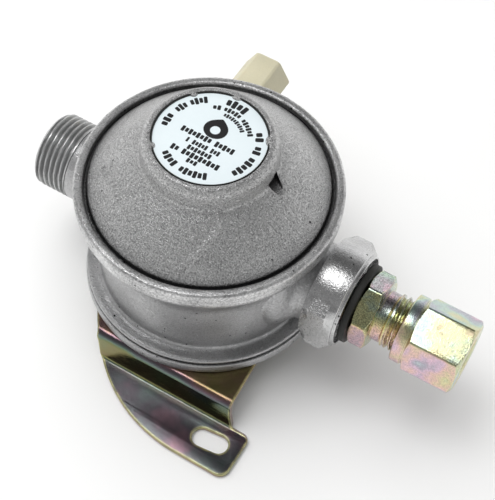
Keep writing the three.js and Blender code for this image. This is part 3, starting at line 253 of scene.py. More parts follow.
@dataclass(frozen=True)
class HexBar:
    """A stretch of hexagonal bar with its corners turned off."""

    flats: float
    start: float
    end: float
    corner: float  # degrees, where one corner lies
    chamfers: tuple[bool, bool] = (True, True)
    corner_round: float = 0.00012
    slope: float = 1.73  # how fast the turned-off end opens out
    blunt: float = 0.0003  # rounding of an end that isn't turned off

    def stations(self) -> Outline:
        """Outline points along the bar, with its turned-off ends.

        Returns:
            The points in order.
        """
        corner = self.flats / 2 / math.cos(math.pi / 6) - self.corner_round
        face = self.flats / 2 - 0.00015
        run = (corner - face) / self.slope
        points: Outline = [(lerp(face, corner, s), self.start + run * s) for s in spaced(0, 1, 6)]
        if not self.chamfers[0]:
            square = [(face * 0.9, self.start), (corner, self.start), (corner, self.start + run)]
            points = rounded(square, self.blunt)
        far: Outline = [(lerp(corner, face, s), self.end - run * (1 - s)) for s in spaced(0, 1, 6)]
        if not self.chamfers[1]:
            square = [(corner, self.end - run), (corner, self.end), (face * 0.9, self.end)]
            far = rounded(square, self.blunt)
        return [*points, *far]

    def radius(self, radius: float, height: float, angle: float) -> float:
        """The radius rule of the hexagon.

        Args:
            radius: The plain outline's radius.
            height: Place along the axis.
            angle: Place round the axis.

        Returns:
            The radius, held to the flats.
        """
        if not self.start - 1e-7 <= height <= self.end + 1e-7:
            return radius
        sixth = TURN / 6
        across = (angle - math.radians(self.corner)) % sixth - sixth / 2
        return min(radius, self.flats / 2 / math.cos(across))


def all_rules(*rules: RadiusRule) -> RadiusRule:
    """One radius rule that holds the radius to the least of several."""
    return lambda radius, height, angle: min(rule(radius, height, angle) for rule in rules)


# ------------------------------------------------------------------ meshes
def new_mesh(name: str, points: Sequence[Sequence[float]], faces: Sequence[Sequence[int]]) -> Mesh:
    """A mesh with its faces turned outward.

    Args:
        name: The mesh's name.
        points: Its vertices.
        faces: Vertex numbers of each face.

    Returns:
        The mesh.
    """
    mesh = bpy.data.meshes.new(name)
    mesh.from_pydata([tuple(p) for p in points], [], faces)
    work = bmesh.new()
    work.from_mesh(mesh)
    bmesh.ops.recalc_face_normals(work, faces=work.faces)
    work.to_mesh(mesh)
    work.free()
    return mesh


def to_scene(thing: Object) -> None:
    """Links an object to the scene."""
    bpy.context.scene.collection.objects.link(thing)


def merged(name: str, meshes: Sequence[Mesh]) -> Mesh:
    """Gathers meshes into one.

    Args:
        name: The new mesh's name.
        meshes: The meshes, which are used up.

    Returns:
        The mesh that holds them all.
    """
    work = bmesh.new()
    for mesh in meshes:
        work.from_mesh(mesh)
        bpy.data.meshes.remove(mesh)
    made = bpy.data.meshes.new(name)
    work.to_mesh(made)
    work.free()
    return made


def evaluated(mesh: Mesh, add_modifiers: Callable[[Object], None]) -> Mesh:
    """The mesh that a stack of modifiers makes of another.

    Args:
        mesh: The mesh to start from, which is used up.
        add_modifiers: Adds the modifiers to an object that holds it.

    Returns:
        The new mesh.
    """
    holder = bpy.data.objects.new(mesh.name + "_work", mesh)
    to_scene(holder)
    add_modifiers(holder)
    graph = bpy.context.evaluated_depsgraph_get()
    made = bpy.data.meshes.new_from_object(holder.evaluated_get(graph))
    made.materials.clear()
    bpy.data.objects.remove(holder)
    bpy.data.meshes.remove(mesh)
    return made


def fused(name: str, meshes: Sequence[Mesh], voxel: float, smoothing: int) -> Mesh:
    """Melts overlapping closed meshes into one skin, as a casting comes out of its mould.

    Args:
        name: The new mesh's name.
        meshes: The closed meshes, which are used up.
        voxel: Size of the grid that the skin is drawn on.
        smoothing: How many times the skin is smoothed.

    Returns:
        The single skin.
    """

    def modifiers(holder: Object) -> None:
        """Adds the remesh and the smoothing.

        Args:
            holder: The object that holds the mesh.
        """
        remesh = holder.modifiers.new("skin", "REMESH")
        remesh.mode = "VOXEL"
        remesh.voxel_size = voxel
        smooth = holder.modifiers.new("smooth", "SMOOTH")
        smooth.factor = 0.5
        smooth.iterations = smoothing

    return evaluated(merged(name, meshes), modifiers)


def carved(mesh: Mesh, tool: Mesh, operation: str = "DIFFERENCE") -> Mesh:
    """Cuts one closed mesh with another.

    Args:
        mesh: The mesh to cut, which is used up.
        tool: The mesh that cuts, which is used up.
        operation: The boolean operation.

    Returns:
        What is left.
    """
    cutter = bpy.data.objects.new("cutter", tool)
    to_scene(cutter)

    def modifiers(holder: Object) -> None:
        """Adds the boolean.

        Args:
            holder: The object that holds the mesh.
        """
        boolean = holder.modifiers.new("cut", "BOOLEAN")
        boolean.operation = operation
        boolean.solver = "EXACT"
        boolean.object = cutter

    made = evaluated(mesh, modifiers)
    bpy.data.objects.remove(cutter)
    bpy.data.meshes.remove(tool)
    return made


@dataclass(frozen=True)
class Bench:
    """The datum in the row frame, and the tools that make pieces round it."""

    datum: Vector

    @classmethod
    def from_frame(cls) -> Bench:
        """The bench whose datum is the crossing of the plate's and the stub's axes.

        Returns:
            The bench.
        """
        plate_low, plate_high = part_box("rating_plate")
        stub_low, stub_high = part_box("outlet_stub")
        upright, flow = (plate_low + plate_high) / 2, (stub_low + stub_high) / 2
        return cls(Vector((upright.x, upright.y, flow.z)))

    def place(self, axis: Axis, across: tuple[float, float], height: float) -> Vector:
        """A point of the row frame.

        Args:
            axis: The axis that height runs along.
            across: The two coordinates across that axis.
            height: The distance along it.

        Returns:
            The point.
        """
        u, v = across
        offset = {Axis.X: (height, u, v), Axis.Y: (u, height, v), Axis.Z: (u, v, height)}[axis]
        return self.datum + Vector(offset)

    def span(self, node: str, axis: Axis) -> tuple[float, float]:
        """Where a CAD node starts and ends along an axis, from the datum.

        Args:
            node: The node's name.
            axis: The axis.

        Returns:
            Its lowest and highest place.
        """
        datum = getattr(self.datum, axis.value)
        low, high = (getattr(corner, axis.value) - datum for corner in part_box(node))
        return low, high

    def turned(
        self,
        name: str,
        outline: Sequence[tuple[float, float]],
        axis: Axis = Axis.Z,
        sides: int = 128,
        at: tuple[float, float] = (0.0, 0.0),
        rule: RadiusRule | None = None,
    ) -> Mesh:
        """A closed turned mesh, whose radius may also change round the axis.

        Args:
            name: The mesh's name.
            outline: Radius and height pairs, which start and end on the axis or close on themselves.
            axis: The axis of turning.
            sides: Steps round the axis.
            at: Where the axis passes, across itself.
            rule: Changes the outline's radius by height and angle.

        Returns:
            The mesh.
        """
        points: list[Vector] = []
        rings: list[list[int]] = []
        for radius, height in outline:
            if radius < 1e-7:
                rings.append([len(points)] * sides)
                points.append(self.place(axis, at, height))
                continue
            rings.append(list(range(len(points), len(points) + sides)))
            for i in range(sides):
                angle = TURN * i / sides
                r = rule(radius, height, angle) if rule else radius
                across = (at[0] + r * math.cos(angle), at[1] + r * math.sin(angle))
                points.append(self.place(axis, across, height))
        pairs = list(zip(rings, rings[1:]))
        if outline[0][0] > 1e-7:
            pairs.append((rings[-1], rings[0]))
        faces = []
        for low, high in pairs:
            for i in range(sides):
                j = (i + 1) % sides
                face = list(dict.fromkeys((low[i], low[j], high[j], high[i])))
                if len(face) > 2:
                    faces.append(face)
        return new_mesh(name, points, faces)

    def slab(self, name: str, outline: Outline, low: float, high: float) -> Mesh:
        """An upright prism over a flat outline.

        Args:
            name: The mesh's name.
            outline: Its corners in plan, measured from the datum.
            low: Height of its bottom.
            high: Height of its top.

        Returns:
            The mesh.
        """
        count = len(outline)
        points = [self.place(Axis.Z, corner, height) for height in (low, high) for corner in outline]
        sides = [(i, (i + 1) % count, count + (i + 1) % count, count + i) for i in range(count)]
        return new_mesh(name, points, [tuple(range(count)), tuple(range(count, 2 * count)), *sides])

    def tube(self, name: str, path: Sequence[Vector], radius: float, sides: int = 12) -> Mesh:
        """A round wire that follows a path, with domed ends.

        Args:
            name: The mesh's name.
            path: Points of its centre line, in the row frame.
            radius: Its radius.
            sides: Steps round it.

        Returns:
            The mesh.
        """
        points: list[Vector] = []
        faces = []
        side = Vector((0, 0, 1))
        last = len(path) - 1
        for i, centre in enumerate(path):
            along = (path[min(i + 1, last)] - path[max(i - 1, 0)]).normalized()
            across = along.cross(side).normalized()
            other = along.cross(across)
            thick = radius * (0.6 if i in (0, last) else 1.0)
            for k in range(sides):
                angle = TURN * k / sides
                points.append(centre + (across * math.cos(angle) + other * math.sin(angle)) * thick)
        for i in range(last):
            for k in range(sides):
                j = (k + 1) % sides
                faces.append((i * sides + k, i * sides + j, (i + 1) * sides + j, (i + 1) * sides + k))
        faces.append(tuple(range(sides)))
        faces.append(tuple(range(last * sides, (last + 1) * sides)))
        return new_mesh(name, points, faces)

    def piece(
        self,
        mesh: Mesh,
        finish: Finish,
        slot: Slot,
        replaces: Iterable[str] = (),
        crease: float = 32.0,
        rides: Body | None = Body.HOUSING,
    ) -> Object:
        """Puts a finished mesh in the scene as a piece of the regulator.

        Args:
            mesh: Its mesh, whose name becomes the piece's.
            finish: What it is made of.
            slot: The record's material slot; not used.
            replaces: The CAD nodes that it stands for.
            crease: Edges that turn more than this many degrees are sharp.
            rides: The body that it moves with, or None to leave it unattached.

        Returns:
            The object.
        """
        mesh.shade_smooth()
        mesh.set_sharp_from_angle(angle=math.radians(crease))
        mesh.materials.append(finish.material())
        made = bpy.data.objects.new(mesh.name, mesh)
        to_scene(made)
        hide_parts(*replaces)
        if rides:
            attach(made, rides.value)
        LOG.info("%s: %d faces", made.name, len(mesh.polygons))
        return made


# ------------------------------------------------------------------ shader building
FLOAT = "NodeSocketFloat"
COLOUR = "NodeSocketColor"


class Nodes:
    """A node tree with short calls that add and join its nodes."""

    def __init__(self, tree: NodeTree) -> None:
        """Keeps the tree."""
        self.tree = tree

    def add(self, kind: str, inputs: dict[str | int, object] | None = None, **settings: object) -> Node:
        """Adds a node.

        Args:
            kind: The node's type.
            inputs: Values or sockets for its inputs.
            settings: Its other properties.

        Returns:
            The node.
        """
        made = self.tree.nodes.new(kind)
        for key, value in settings.items():
            setattr(made, key, value)
        for key, value in (inputs or {}).items():
            if isinstance(value, NodeSocket):
                self.tree.links.new(value, made.inputs[key])
            else:
                made.inputs[key].default_value = value
        return made

    def maths(self, operation: str, a: object, b: object = 0.5, clamp: bool = False) -> NodeSocket:
        """One sum of two values.

        Args:
            operation: The Math node's operation.
            a: The first value or socket.
            b: The second value or socket.
            clamp: Whether the result is held between 0 and 1.

        Returns:
            The result's socket.
        """
        return self.add("ShaderNodeMath", {0: a, 1: b}, operation=operation, use_clamp=clamp).outputs[0]

    def stretch(
        self, value: object, low: float, high: float, to: tuple[float, float] = (0.0, 1.0)
    ) -> NodeSocket:
        """Stretches a range of values to another, held at its ends.

        Args:
            value: The value's socket.
            low: The value that becomes the first of the new range.
            high: The value that becomes the last.
            to: The new range.

        Returns:
            The result's socket.
        """
        inputs = {0: value, 1: low, 2: high, 3: to[0], 4: to[1]}
        return self.add("ShaderNodeMapRange", inputs, clamp=True).outputs[0]

    def blend(self, share: object, a: object, b: object, mode: str = "MIX") -> NodeSocket:
        """Mixes two colours.

        Args:
            share: How much of the second.
            a: The first colour or socket.
            b: The second colour or socket.
            mode: The Mix node's blending mode.

        Returns:
            The colour's socket.
        """
        inputs = {0: share, 6: _colour(a), 7: _colour(b)}
        return self.add("ShaderNodeMix", inputs, data_type="RGBA", blend_type=mode).outputs[2]

    def noise(self, place: object, scale: object, detail: float = 2.0, roughness: float = 0.5) -> NodeSocket:
        """A noise value.

        Args:
            place: The coordinates.
            scale: Features to the metre.
            detail: How many finer layers it has.
            roughness: How strong they are.

        Returns:
            The value's socket.
        """
        inputs = {"Vector": place, "Scale": scale, "Detail": detail, "Roughness": roughness}
        return self.add("ShaderNodeTexNoise", inputs).outputs[0]

    def ramp(self, value: object, stops: Sequence[tuple[float, Colour]]) -> NodeSocket:
        """A colour for each value.

        Args:
            value: The value's socket.
            stops: The values and colours that the ramp passes through.

        Returns:
            The colour's socket.
        """
        made = self.add("ShaderNodeValToRGB", {0: value})
        elements = made.color_ramp.elements
        while len(elements) < len(stops):
            elements.new(0.5)
        for element, (position, colour) in zip(elements, stops):
            element.position = position
            element.color = (*colour, 1.0)
        return made.outputs[0]

    def place(self) -> NodeSocket:
        """Coordinates that stay with the piece as it moves."""
        return self.add("ShaderNodeTexCoord").outputs["Object"]


def _colour(value: object) -> object:
    """A plain colour with its fourth number, or the socket that was given."""
    return (*value, 1.0) if isinstance(value, tuple) and len(value) == 3 else value


def _group(name: str, inputs: dict[str, float], outputs: dict[str, str]) -> tuple[Nodes, Node, Node] | None:
    """Starts a node group with named sockets.

    Args:
        name: The group's name.
        inputs: Each input's name and default value.
        outputs: Each output's name and socket type.

    Returns:
        The nodes, the group's input node and its output node, or None if the group is there already.
    """
    if name in bpy.data.node_groups:
        return None
    tree = bpy.data.node_groups.new(name, "ShaderNodeTree")
    for label, value in inputs.items():
        tree.interface.new_socket(name=label, in_out="INPUT", socket_type=FLOAT).default_value = value
    for label, kind in outputs.items():
        tree.interface.new_socket(name=label, in_out="OUTPUT", socket_type=kind)
    nodes = Nodes(tree)
    return nodes, nodes.add("NodeGroupInput"), nodes.add("NodeGroupOutput")


def grain_group() -> NodeTree:
    """The shot-blasted grain of a casting: a fine speckle over broad cloudy patches.

    Returns:
        The group.
    """
    name = "cast_grain"
    started = _group(name, {"Grains": 2600.0, "Cloud": 0.25}, {"Tone": FLOAT, "Height": FLOAT})
    if started:
        nodes, given, out = started
        place = nodes.place()
        fine = nodes.noise(place, given.outputs["Grains"], 3.0, 0.65)
        speckle = nodes.stretch(fine, 0.34, 0.66)
        coarse = nodes.noise(place, nodes.maths("MULTIPLY", given.outputs["Grains"], 0.31), 2.0)
        cloud = nodes.stretch(nodes.noise(place, 90.0, 3.0), 0.3, 0.7)
        fine_part, coarse_part = (nodes.maths("MULTIPLY", v, s) for v, s in ((speckle, 0.78), (coarse, 0.22)))
        grit = nodes.maths("ADD", fine_part, coarse_part)
        share = given.outputs["Cloud"]
        kept = nodes.maths("MULTIPLY", grit, nodes.maths("SUBTRACT", 1.0, share))
        tone = nodes.maths("ADD", kept, nodes.maths("MULTIPLY", cloud, share), clamp=True)
        nodes.tree.links.new(tone, out.inputs["Tone"])
        nodes.tree.links.new(grit, out.inputs["Height"])
    return bpy.data.node_groups[name]


def pits_group() -> NodeTree:
    """Scattered small dark pits.

    Returns:
        The group.
    """
    name = "scattered_pits"
    started = _group(name, {"Cells": 700.0, "Size": 0.16, "Share": 0.25}, {"Mask": FLOAT})
    if started:
        nodes, given, out = started
        place = nodes.place()
        bent = nodes.add("ShaderNodeTexNoise", {"Vector": place, "Scale": 1500.0}).outputs["Color"]
        shifted = nodes.add(
            "ShaderNodeVectorMath", {0: place, 1: _scaled(nodes, bent, 0.0004)}, operation="ADD"
        ).outputs[0]
        cells = nodes.add("ShaderNodeTexVoronoi", {"Vector": shifted, "Scale": given.outputs["Cells"]})
        near = nodes.maths("LESS_THAN", cells.outputs["Distance"], given.outputs["Size"])
        chosen = nodes.maths("LESS_THAN", _grey(nodes, cells.outputs["Color"]), given.outputs["Share"])
        nodes.tree.links.new(nodes.maths("MULTIPLY", near, chosen), out.inputs["Mask"])
    return bpy.data.node_groups[name]


def _scaled(nodes: Nodes, vector: object, factor: float) -> NodeSocket:
    """A vector or colour times a factor."""
    return nodes.add("ShaderNodeVectorMath", {0: vector, "Scale": factor}, operation="SCALE").outputs[0]


def _dot(nodes: Nodes, a: object, b: object) -> NodeSocket:
    """The dot product of two vectors."""
    return nodes.add("ShaderNodeVectorMath", {0: a, 1: b}, operation="DOT_PRODUCT").outputs["Value"]


def _height(nodes: Nodes, vector: object) -> NodeSocket:
    """The upright part of a vector."""
    return nodes.add("ShaderNodeSeparateXYZ", {0: vector}).outputs[2]


def _grey(nodes: Nodes, colour: object) -> NodeSocket:
    """The first channel of a colour."""
    return nodes.add("ShaderNodeSeparateColor", {0: colour}).outputs[0]


def edge_wear_and_highlight_group() -> NodeTree:
    """A mask of the outer edges, broken up by noise, where handling rubs a finish and where a painted
    highlight lightens the edges.

    Returns:
        The group.
    """
    name = "rubbed_edges"
    started = _group(name, {"Reach": 0.0005, "Strength": 1.0}, {"Mask": FLOAT})
    if started:
        nodes, given, out = started
        soft = nodes.add("ShaderNodeBevel", {"Radius": given.outputs["Reach"]}, samples=6).outputs[0]
        plain = nodes.add("ShaderNodeNewGeometry").outputs["Normal"]
        same = _dot(nodes, soft, plain)
        turned = nodes.stretch(nodes.maths("SUBTRACT", 1.0, same), 0.012, 0.10)
        patchy = nodes.stretch(nodes.noise(nodes.place(), 420.0, 3.0), 0.3, 0.6, (0.35, 1.0))
        worn = nodes.maths("MULTIPLY", turned, patchy)
        mask = nodes.maths("MULTIPLY", worn, given.outputs["Strength"], clamp=True)
        nodes.tree.links.new(mask, out.inputs["Mask"])
    return bpy.data.node_groups[name]


def hollow_group() -> NodeTree:
    """A mask of the creases and hollows, where painted shade darkens the colour.

    Returns:
        The group.
    """
    name = "shaded_hollows"
    started = _group(name, {"Reach": 0.002, "Strength": 1.0}, {"Mask": FLOAT})
    if started:
        nodes, given, out = started
        open_sky = nodes.add("ShaderNodeAmbientOcclusion", {"Distance": given.outputs["Reach"]}, samples=6)
        closed = nodes.stretch(open_sky.outputs["AO"], 0.4, 0.95, (1.0, 0.0))
        nodes.tree.links.new(nodes.maths("MULTIPLY", closed, given.outputs["Strength"]), out.inputs["Mask"])
    return bpy.data.node_groups[name]


FILM: tuple[tuple[float, Colour], ...] = (
    (0.00, (0.66, 0.56, 0.20)),
    (0.16, (0.55, 0.60, 0.26)),
    (0.30, (0.36, 0.56, 0.48)),
    (0.42, (0.34, 0.40, 0.46)),
    (0.54, (0.32, 0.27, 0.38)),
    (0.66, (0.66, 0.38, 0.54)),
    (0.80, (0.78, 0.44, 0.34)),
    (1.00, (0.66, 0.56, 0.20)),
)
FILM_AND_SHADE_LEAN = (0.35, 0.62, 0.70)  # the way that the thickest film faces; this facing also paints reflection and shade on facets


def film_group() -> NodeTree:
    """The colours of a passivation film, which change with its thickness over the surface and with which way
    each face points; the facing part partly paints reflection and shade.

    Returns:
        The group.
    """
    name = "passivation_film"
    given_defaults = {"Phase": 0.0, "Patches": 130.0, "Spread": 1.0, "Facing": 0.4, "Drain": 0.0}
    started = _group(name, given_defaults, {"Colour": COLOUR, "Thickness": FLOAT})
    if started:
        nodes, given, out = started
        place = nodes.place()
        broad = nodes.noise(place, given.outputs["Patches"], 2.0, 0.45)
        fine = nodes.noise(place, nodes.maths("MULTIPLY", given.outputs["Patches"], 6.0), 2.0)
        normal = nodes.add("ShaderNodeTexCoord").outputs["Normal"]
        # facing term: film colour by face direction, partly a painted reflection and shade
        tilt = _dot(nodes, normal, FILM_AND_SHADE_LEAN)
        varied = nodes.maths("MULTIPLY", nodes.maths("SUBTRACT", broad, 0.5), given.outputs["Spread"])
        facing = nodes.maths("MULTIPLY", tilt, given.outputs["Facing"])
        total = nodes.maths("ADD", nodes.maths("ADD", varied, facing), given.outputs["Phase"])
        total = nodes.maths("ADD", total, nodes.maths("MULTIPLY", nodes.maths("SUBTRACT", fine, 0.5), 0.2))
        height = _height(nodes, place)
        total = nodes.maths("ADD", total, nodes.maths("MULTIPLY", height, given.outputs["Drain"]))
        thickness = nodes.maths("FRACT", total)
        nodes.tree.links.new(nodes.ramp(thickness, FILM), out.inputs["Colour"])
        nodes.tree.links.new(thickness, out.inputs["Thickness"])
    return bpy.data.node_groups[name]


@dataclass(frozen=True)
class Finish:
    """What a surface is made of. Each kind fills in its own shader."""

    name: str

    def material(self) -> Material:
        """The finish's material, made the first time it is asked for.

        Returns:
            The material.
        """
        if self.name not in bpy.data.materials:
            made = bpy.data.materials.new(self.name)
            made.use_nodes = True
            made.node_tree.nodes.clear()
            nodes = Nodes(made.node_tree)
            shader = nodes.add("ShaderNodeBsdfPrincipled")
            output = nodes.add("ShaderNodeOutputMaterial")
            nodes.tree.links.new(shader.outputs[0], output.inputs[0])
            self.fill(nodes, shader)
        return bpy.data.materials[self.name]

    def fill(self, nodes: Nodes, shader: Node) -> None:
        """Joins the finish's own nodes to the shader.

        Args:
            nodes: The material's nodes.
            shader: Its Principled shader.
        """
        raise NotImplementedError

    def use(self, nodes: Nodes, group: NodeTree, **inputs: float) -> Node:
        """Places a shared group in the material.

        Args:
            nodes: The material's nodes.
            group: The shared group.
            inputs: Values for its inputs.

        Returns:
            The group's node.
        """
        return nodes.add("ShaderNodeGroup", inputs, node_tree=group)

    def bump(self, nodes: Nodes, shader: Node, height: object, depth: float) -> None:
        """Gives the shader a bumped normal.

        Args:
            nodes: The material's nodes.
            shader: Its Principled shader.
            height: The height's socket.
            depth: How deep a height of 1 is.
        """
        made = nodes.add("ShaderNodeBump", {"Height": height, "Distance": depth, "Strength": 1.0})
        nodes.tree.links.new(made.outputs[0], shader.inputs["Normal"])

    def join(self, nodes: Nodes, shader: Node, **sockets: object) -> None:
        """Links sockets to the shader's inputs, named with underscores for spaces."""
        for label, socket in sockets.items():
            nodes.tree.links.new(socket, shader.inputs[label.replace("_", " ")])


@dataclass(frozen=True)
class CastMetal(Finish):
    """Die-cast metal with a blasted or satin skin."""

    dark: Colour = (0.20, 0.20, 0.205)
    light: Colour = (0.62, 0.62, 0.63)
    grains: float = 2600.0
    cloud: float = 0.25
    depth: float = 0.00006
    roughness: tuple[float, float] = (0.38, 0.6)
    pits: float = 0.0
    # how strongly the edges are lightened: partly rubbed wear, partly a painted highlight
    edge_wear_and_highlight: float = 0.5
    # strength and reach of the painted shade in hollows
    shade: float = 0.5
    reach: float = 0.0014
    metallic: float = 0.7
    blasted_from: float = 1.0  # height above which the skin is blasted coarse
    blasted: Colour = (0.86, 0.86, 0.86)
    gain: float = 1.7

    def fill(self, nodes: Nodes, shader: Node) -> None:
        """Speckled grey metal with painted shade in its hollows, dark pits, and edges lightened by rubbing
        and a painted highlight.

        Args:
            nodes: The material's nodes.
            shader: Its Principled shader.
        """
        grain = self.use(nodes, grain_group(), Grains=self.grains, Cloud=self.cloud)
        edges = self.use(nodes, edge_wear_and_highlight_group(), Reach=0.0006, Strength=self.edge_wear_and_highlight)
        hollows = self.use(nodes, hollow_group(), Reach=self.reach, Strength=self.shade)
        pits = self.use(nodes, pits_group(), Cells=750.0, Size=0.2, Share=self.pits)
        height = _height(nodes, nodes.place())
        zone = nodes.stretch(height, self.blasted_from - 0.0008, self.blasted_from + 0.0008)
        gain = nodes.stretch(zone, 0.0, 1.0, (1.0, self.gain))
        swing = nodes.maths("MULTIPLY", nodes.maths("SUBTRACT", grain.outputs["Tone"], 0.5), gain)
        tone = nodes.maths("ADD", swing, 0.5, clamp=True)
        colour = nodes.blend(tone, self.dark, nodes.blend(zone, self.light, self.blasted))
        # edges lightened to pale grey: rubbed wear and a painted highlight
        colour = nodes.blend(edges.outputs["Mask"], colour, (0.80, 0.80, 0.80))
        # painted shade: creases and grooves darkened towards near black
        colour = nodes.blend(hollows.outputs["Mask"], colour, (0.06, 0.06, 0.062))
        colour = nodes.blend(pits.outputs["Mask"], colour, (0.02, 0.02, 0.02))
        rough = nodes.stretch(grain.outputs["Height"], 0.0, 1.0, (self.roughness[1], self.roughness[0]))
        relief = nodes.maths("SUBTRACT", grain.outputs["Height"], pits.outputs["Mask"])
        shader.inputs["Metallic"].default_value = self.metallic
        self.join(nodes, shader, Base_Color=colour, Roughness=rough)
        self.bump(nodes, shader, relief, self.depth)


@dataclass(frozen=True)
class Passivated(Finish):
    """Zinc-plated steel under an iridescent chromate film."""

    phase: float = 0.0
    patches: float = 130.0
    spread: float = 1.4
    # how much the film colour follows face direction, partly a painted reflection and shade
    facing: float = 0.45
    drain: float = 0.0  # how fast the film thickens with height
    strength: float = 1.0
    deep: Colour = (0.30, 0.29, 0.14)
    vivid: float = 0.7
    # edge colour: partly rubbed bare zinc, partly a painted highlight
    edge: Colour = (0.86, 0.84, 0.42)
    edge_reach: float = 0.0005
    edge_metal: float = 1.0
    roughness: tuple[float, float] = (0.2, 0.36)
    sparkle: float = 0.25
    # how strongly the edges take that colour, partly rubbed wear and partly a painted highlight
    edge_wear_and_highlight: float = 0.8

    def fill(self, nodes: Nodes, shader: Node) -> None:
        """Bright metal under the film's colours, with fine sparkle, and edges lightened by rubbing and a
        painted highlight.

        Args:
            nodes: The material's nodes.
            shader: Its Principled shader.
        """
        film = self.use(
            nodes,
            film_group(),
            Phase=self.phase,
            Patches=self.patches,
            Spread=self.spread,
            Facing=self.facing,
            Drain=self.drain,
        )
        edges = self.use(nodes, edge_wear_and_highlight_group(), Reach=self.edge_reach, Strength=self.edge_wear_and_highlight)
        grain = self.use(nodes, grain_group(), Grains=3200.0, Cloud=0.1)
        colour = nodes.blend(self.vivid, self.deep, film.outputs["Colour"])
        least, most = self.strength * (1.0 - self.sparkle), self.strength * (1.0 + self.sparkle)
        sparkle = nodes.stretch(grain.outputs["Tone"], 0.2, 0.8, (least, most))
        glint = nodes.add("ShaderNodeCombineColor", {0: sparkle, 1: sparkle, 2: sparkle}).outputs[0]
        lit = nodes.blend(1.0, colour, glint, "MULTIPLY")
        # rubbed wear and a painted highlight on the edges
        lit = nodes.blend(edges.outputs["Mask"], lit, self.edge)
        rough = nodes.stretch(film.outputs["Thickness"], 0.0, 1.0, self.roughness)
        bare = nodes.stretch(edges.outputs["Mask"], 0.0, 1.0, (1.0, self.edge_metal))
        self.join(nodes, shader, Base_Color=lit, Roughness=rough, Metallic=bare)
        self.bump(nodes, shader, grain.outputs["Height"], 0.000012)


@dataclass(frozen=True)
class TurnedMetal(Finish):
    """Machined or drawn metal with fine tool marks."""

    colour: Colour = (0.60, 0.61, 0.63)
    shade: Colour = (0.36, 0.37, 0.39)
    roughness: tuple[float, float] = (0.2, 0.36)
    marks: float = 900.0

    def fill(self, nodes: Nodes, shader: Node) -> None:
        """Metal with a cloudy tarnish and fine marks.

        Args:
            nodes: The material's nodes.
            shader: Its Principled shader.
        """
        place = nodes.place()
        tarnish = nodes.stretch(nodes.noise(place, 260.0, 3.0), 0.35, 0.65)
        marks = nodes.noise(place, self.marks, 4.0, 0.6)
        edges = self.use(nodes, edge_wear_and_highlight_group(), Reach=0.0003, Strength=0.5)
        colour = nodes.blend(tarnish, self.colour, self.shade)
        # edges lightened: rubbed wear and a painted highlight
        colour = nodes.blend(edges.outputs["Mask"], colour, tuple(min(1.0, c * 1.3) for c in self.colour))
        rough = nodes.stretch(marks, 0.3, 0.7, self.roughness)
        shader.inputs["Metallic"].default_value = 1.0
        self.join(nodes, shader, Base_Color=colour, Roughness=rough)
        self.bump(nodes, shader, marks, 0.00001)


@dataclass(frozen=True)
class Moulded(Finish):
    """Moulded plastic or rubber."""

    colour: Colour = (0.62, 0.58, 0.42)
    shade: Colour = (0.50, 0.47, 0.34)
    roughness: tuple[float, float] = (0.42, 0.58)
    grains: float = 1800.0
    depth: float = 0.00002
    glow: float = 0.0  # how far light spreads inside it

    def fill(self, nodes: Nodes, shader: Node) -> None:
        """Plastic with a faint cloudy tone and a fine moulded skin.

        Args:
            nodes: The material's nodes.
            shader: Its Principled shader.
        """
        grain = self.use(nodes, grain_group(), Grains=self.grains, Cloud=0.7)
        edges = self.use(nodes, edge_wear_and_highlight_group(), Reach=0.0004, Strength=0.35)
        colour = nodes.blend(grain.outputs["Tone"], self.shade, self.colour)
        # edges lightened: rubbed wear and a painted highlight
        colour = nodes.blend(edges.outputs["Mask"], colour, tuple(min(1.0, c * 1.15) for c in self.colour))
        rough = nodes.stretch(grain.outputs["Tone"], 0.0, 1.0, self.roughness)
        shader.inputs["Subsurface Weight"].default_value = self.glow
        shader.inputs["Subsurface Radius"].default_value = (0.002, 0.0015, 0.001)
        shader.inputs["Subsurface Scale"].default_value = 1.0
        self.join(nodes, shader, Base_Color=colour, Roughness=rough)
        self.bump(nodes, shader, grain.outputs["Height"], self.depth)


@dataclass(frozen=True)
class Gauze(Finish):
    """Fine woven wire."""

    wires: float = 2500.0

    def fill(self, nodes: Nodes, shader: Node) -> None:
        """Two crossing sets of wires.

        Args:
            nodes: The material's nodes.
            shader: Its Principled shader.
        """
        place = nodes.place()
        waves = [
            nodes.add(
                "ShaderNodeTexWave", {"Vector": place, "Scale": self.wires}, bands_direction=direction
            ).outputs["Fac"]
            for direction in ("Y", "Z")
        ]
        weave = nodes.maths("MAXIMUM", waves[0], waves[1])
        colour = nodes.blend(weave, (0.03, 0.03, 0.03), (0.6, 0.6, 0.58))
        shader.inputs["Metallic"].default_value = 1.0
        shader.inputs["Roughness"].default_value = 0.4
        self.join(nodes, shader, Base_Color=colour)
        self.bump(nodes, shader, weave, 0.00008)


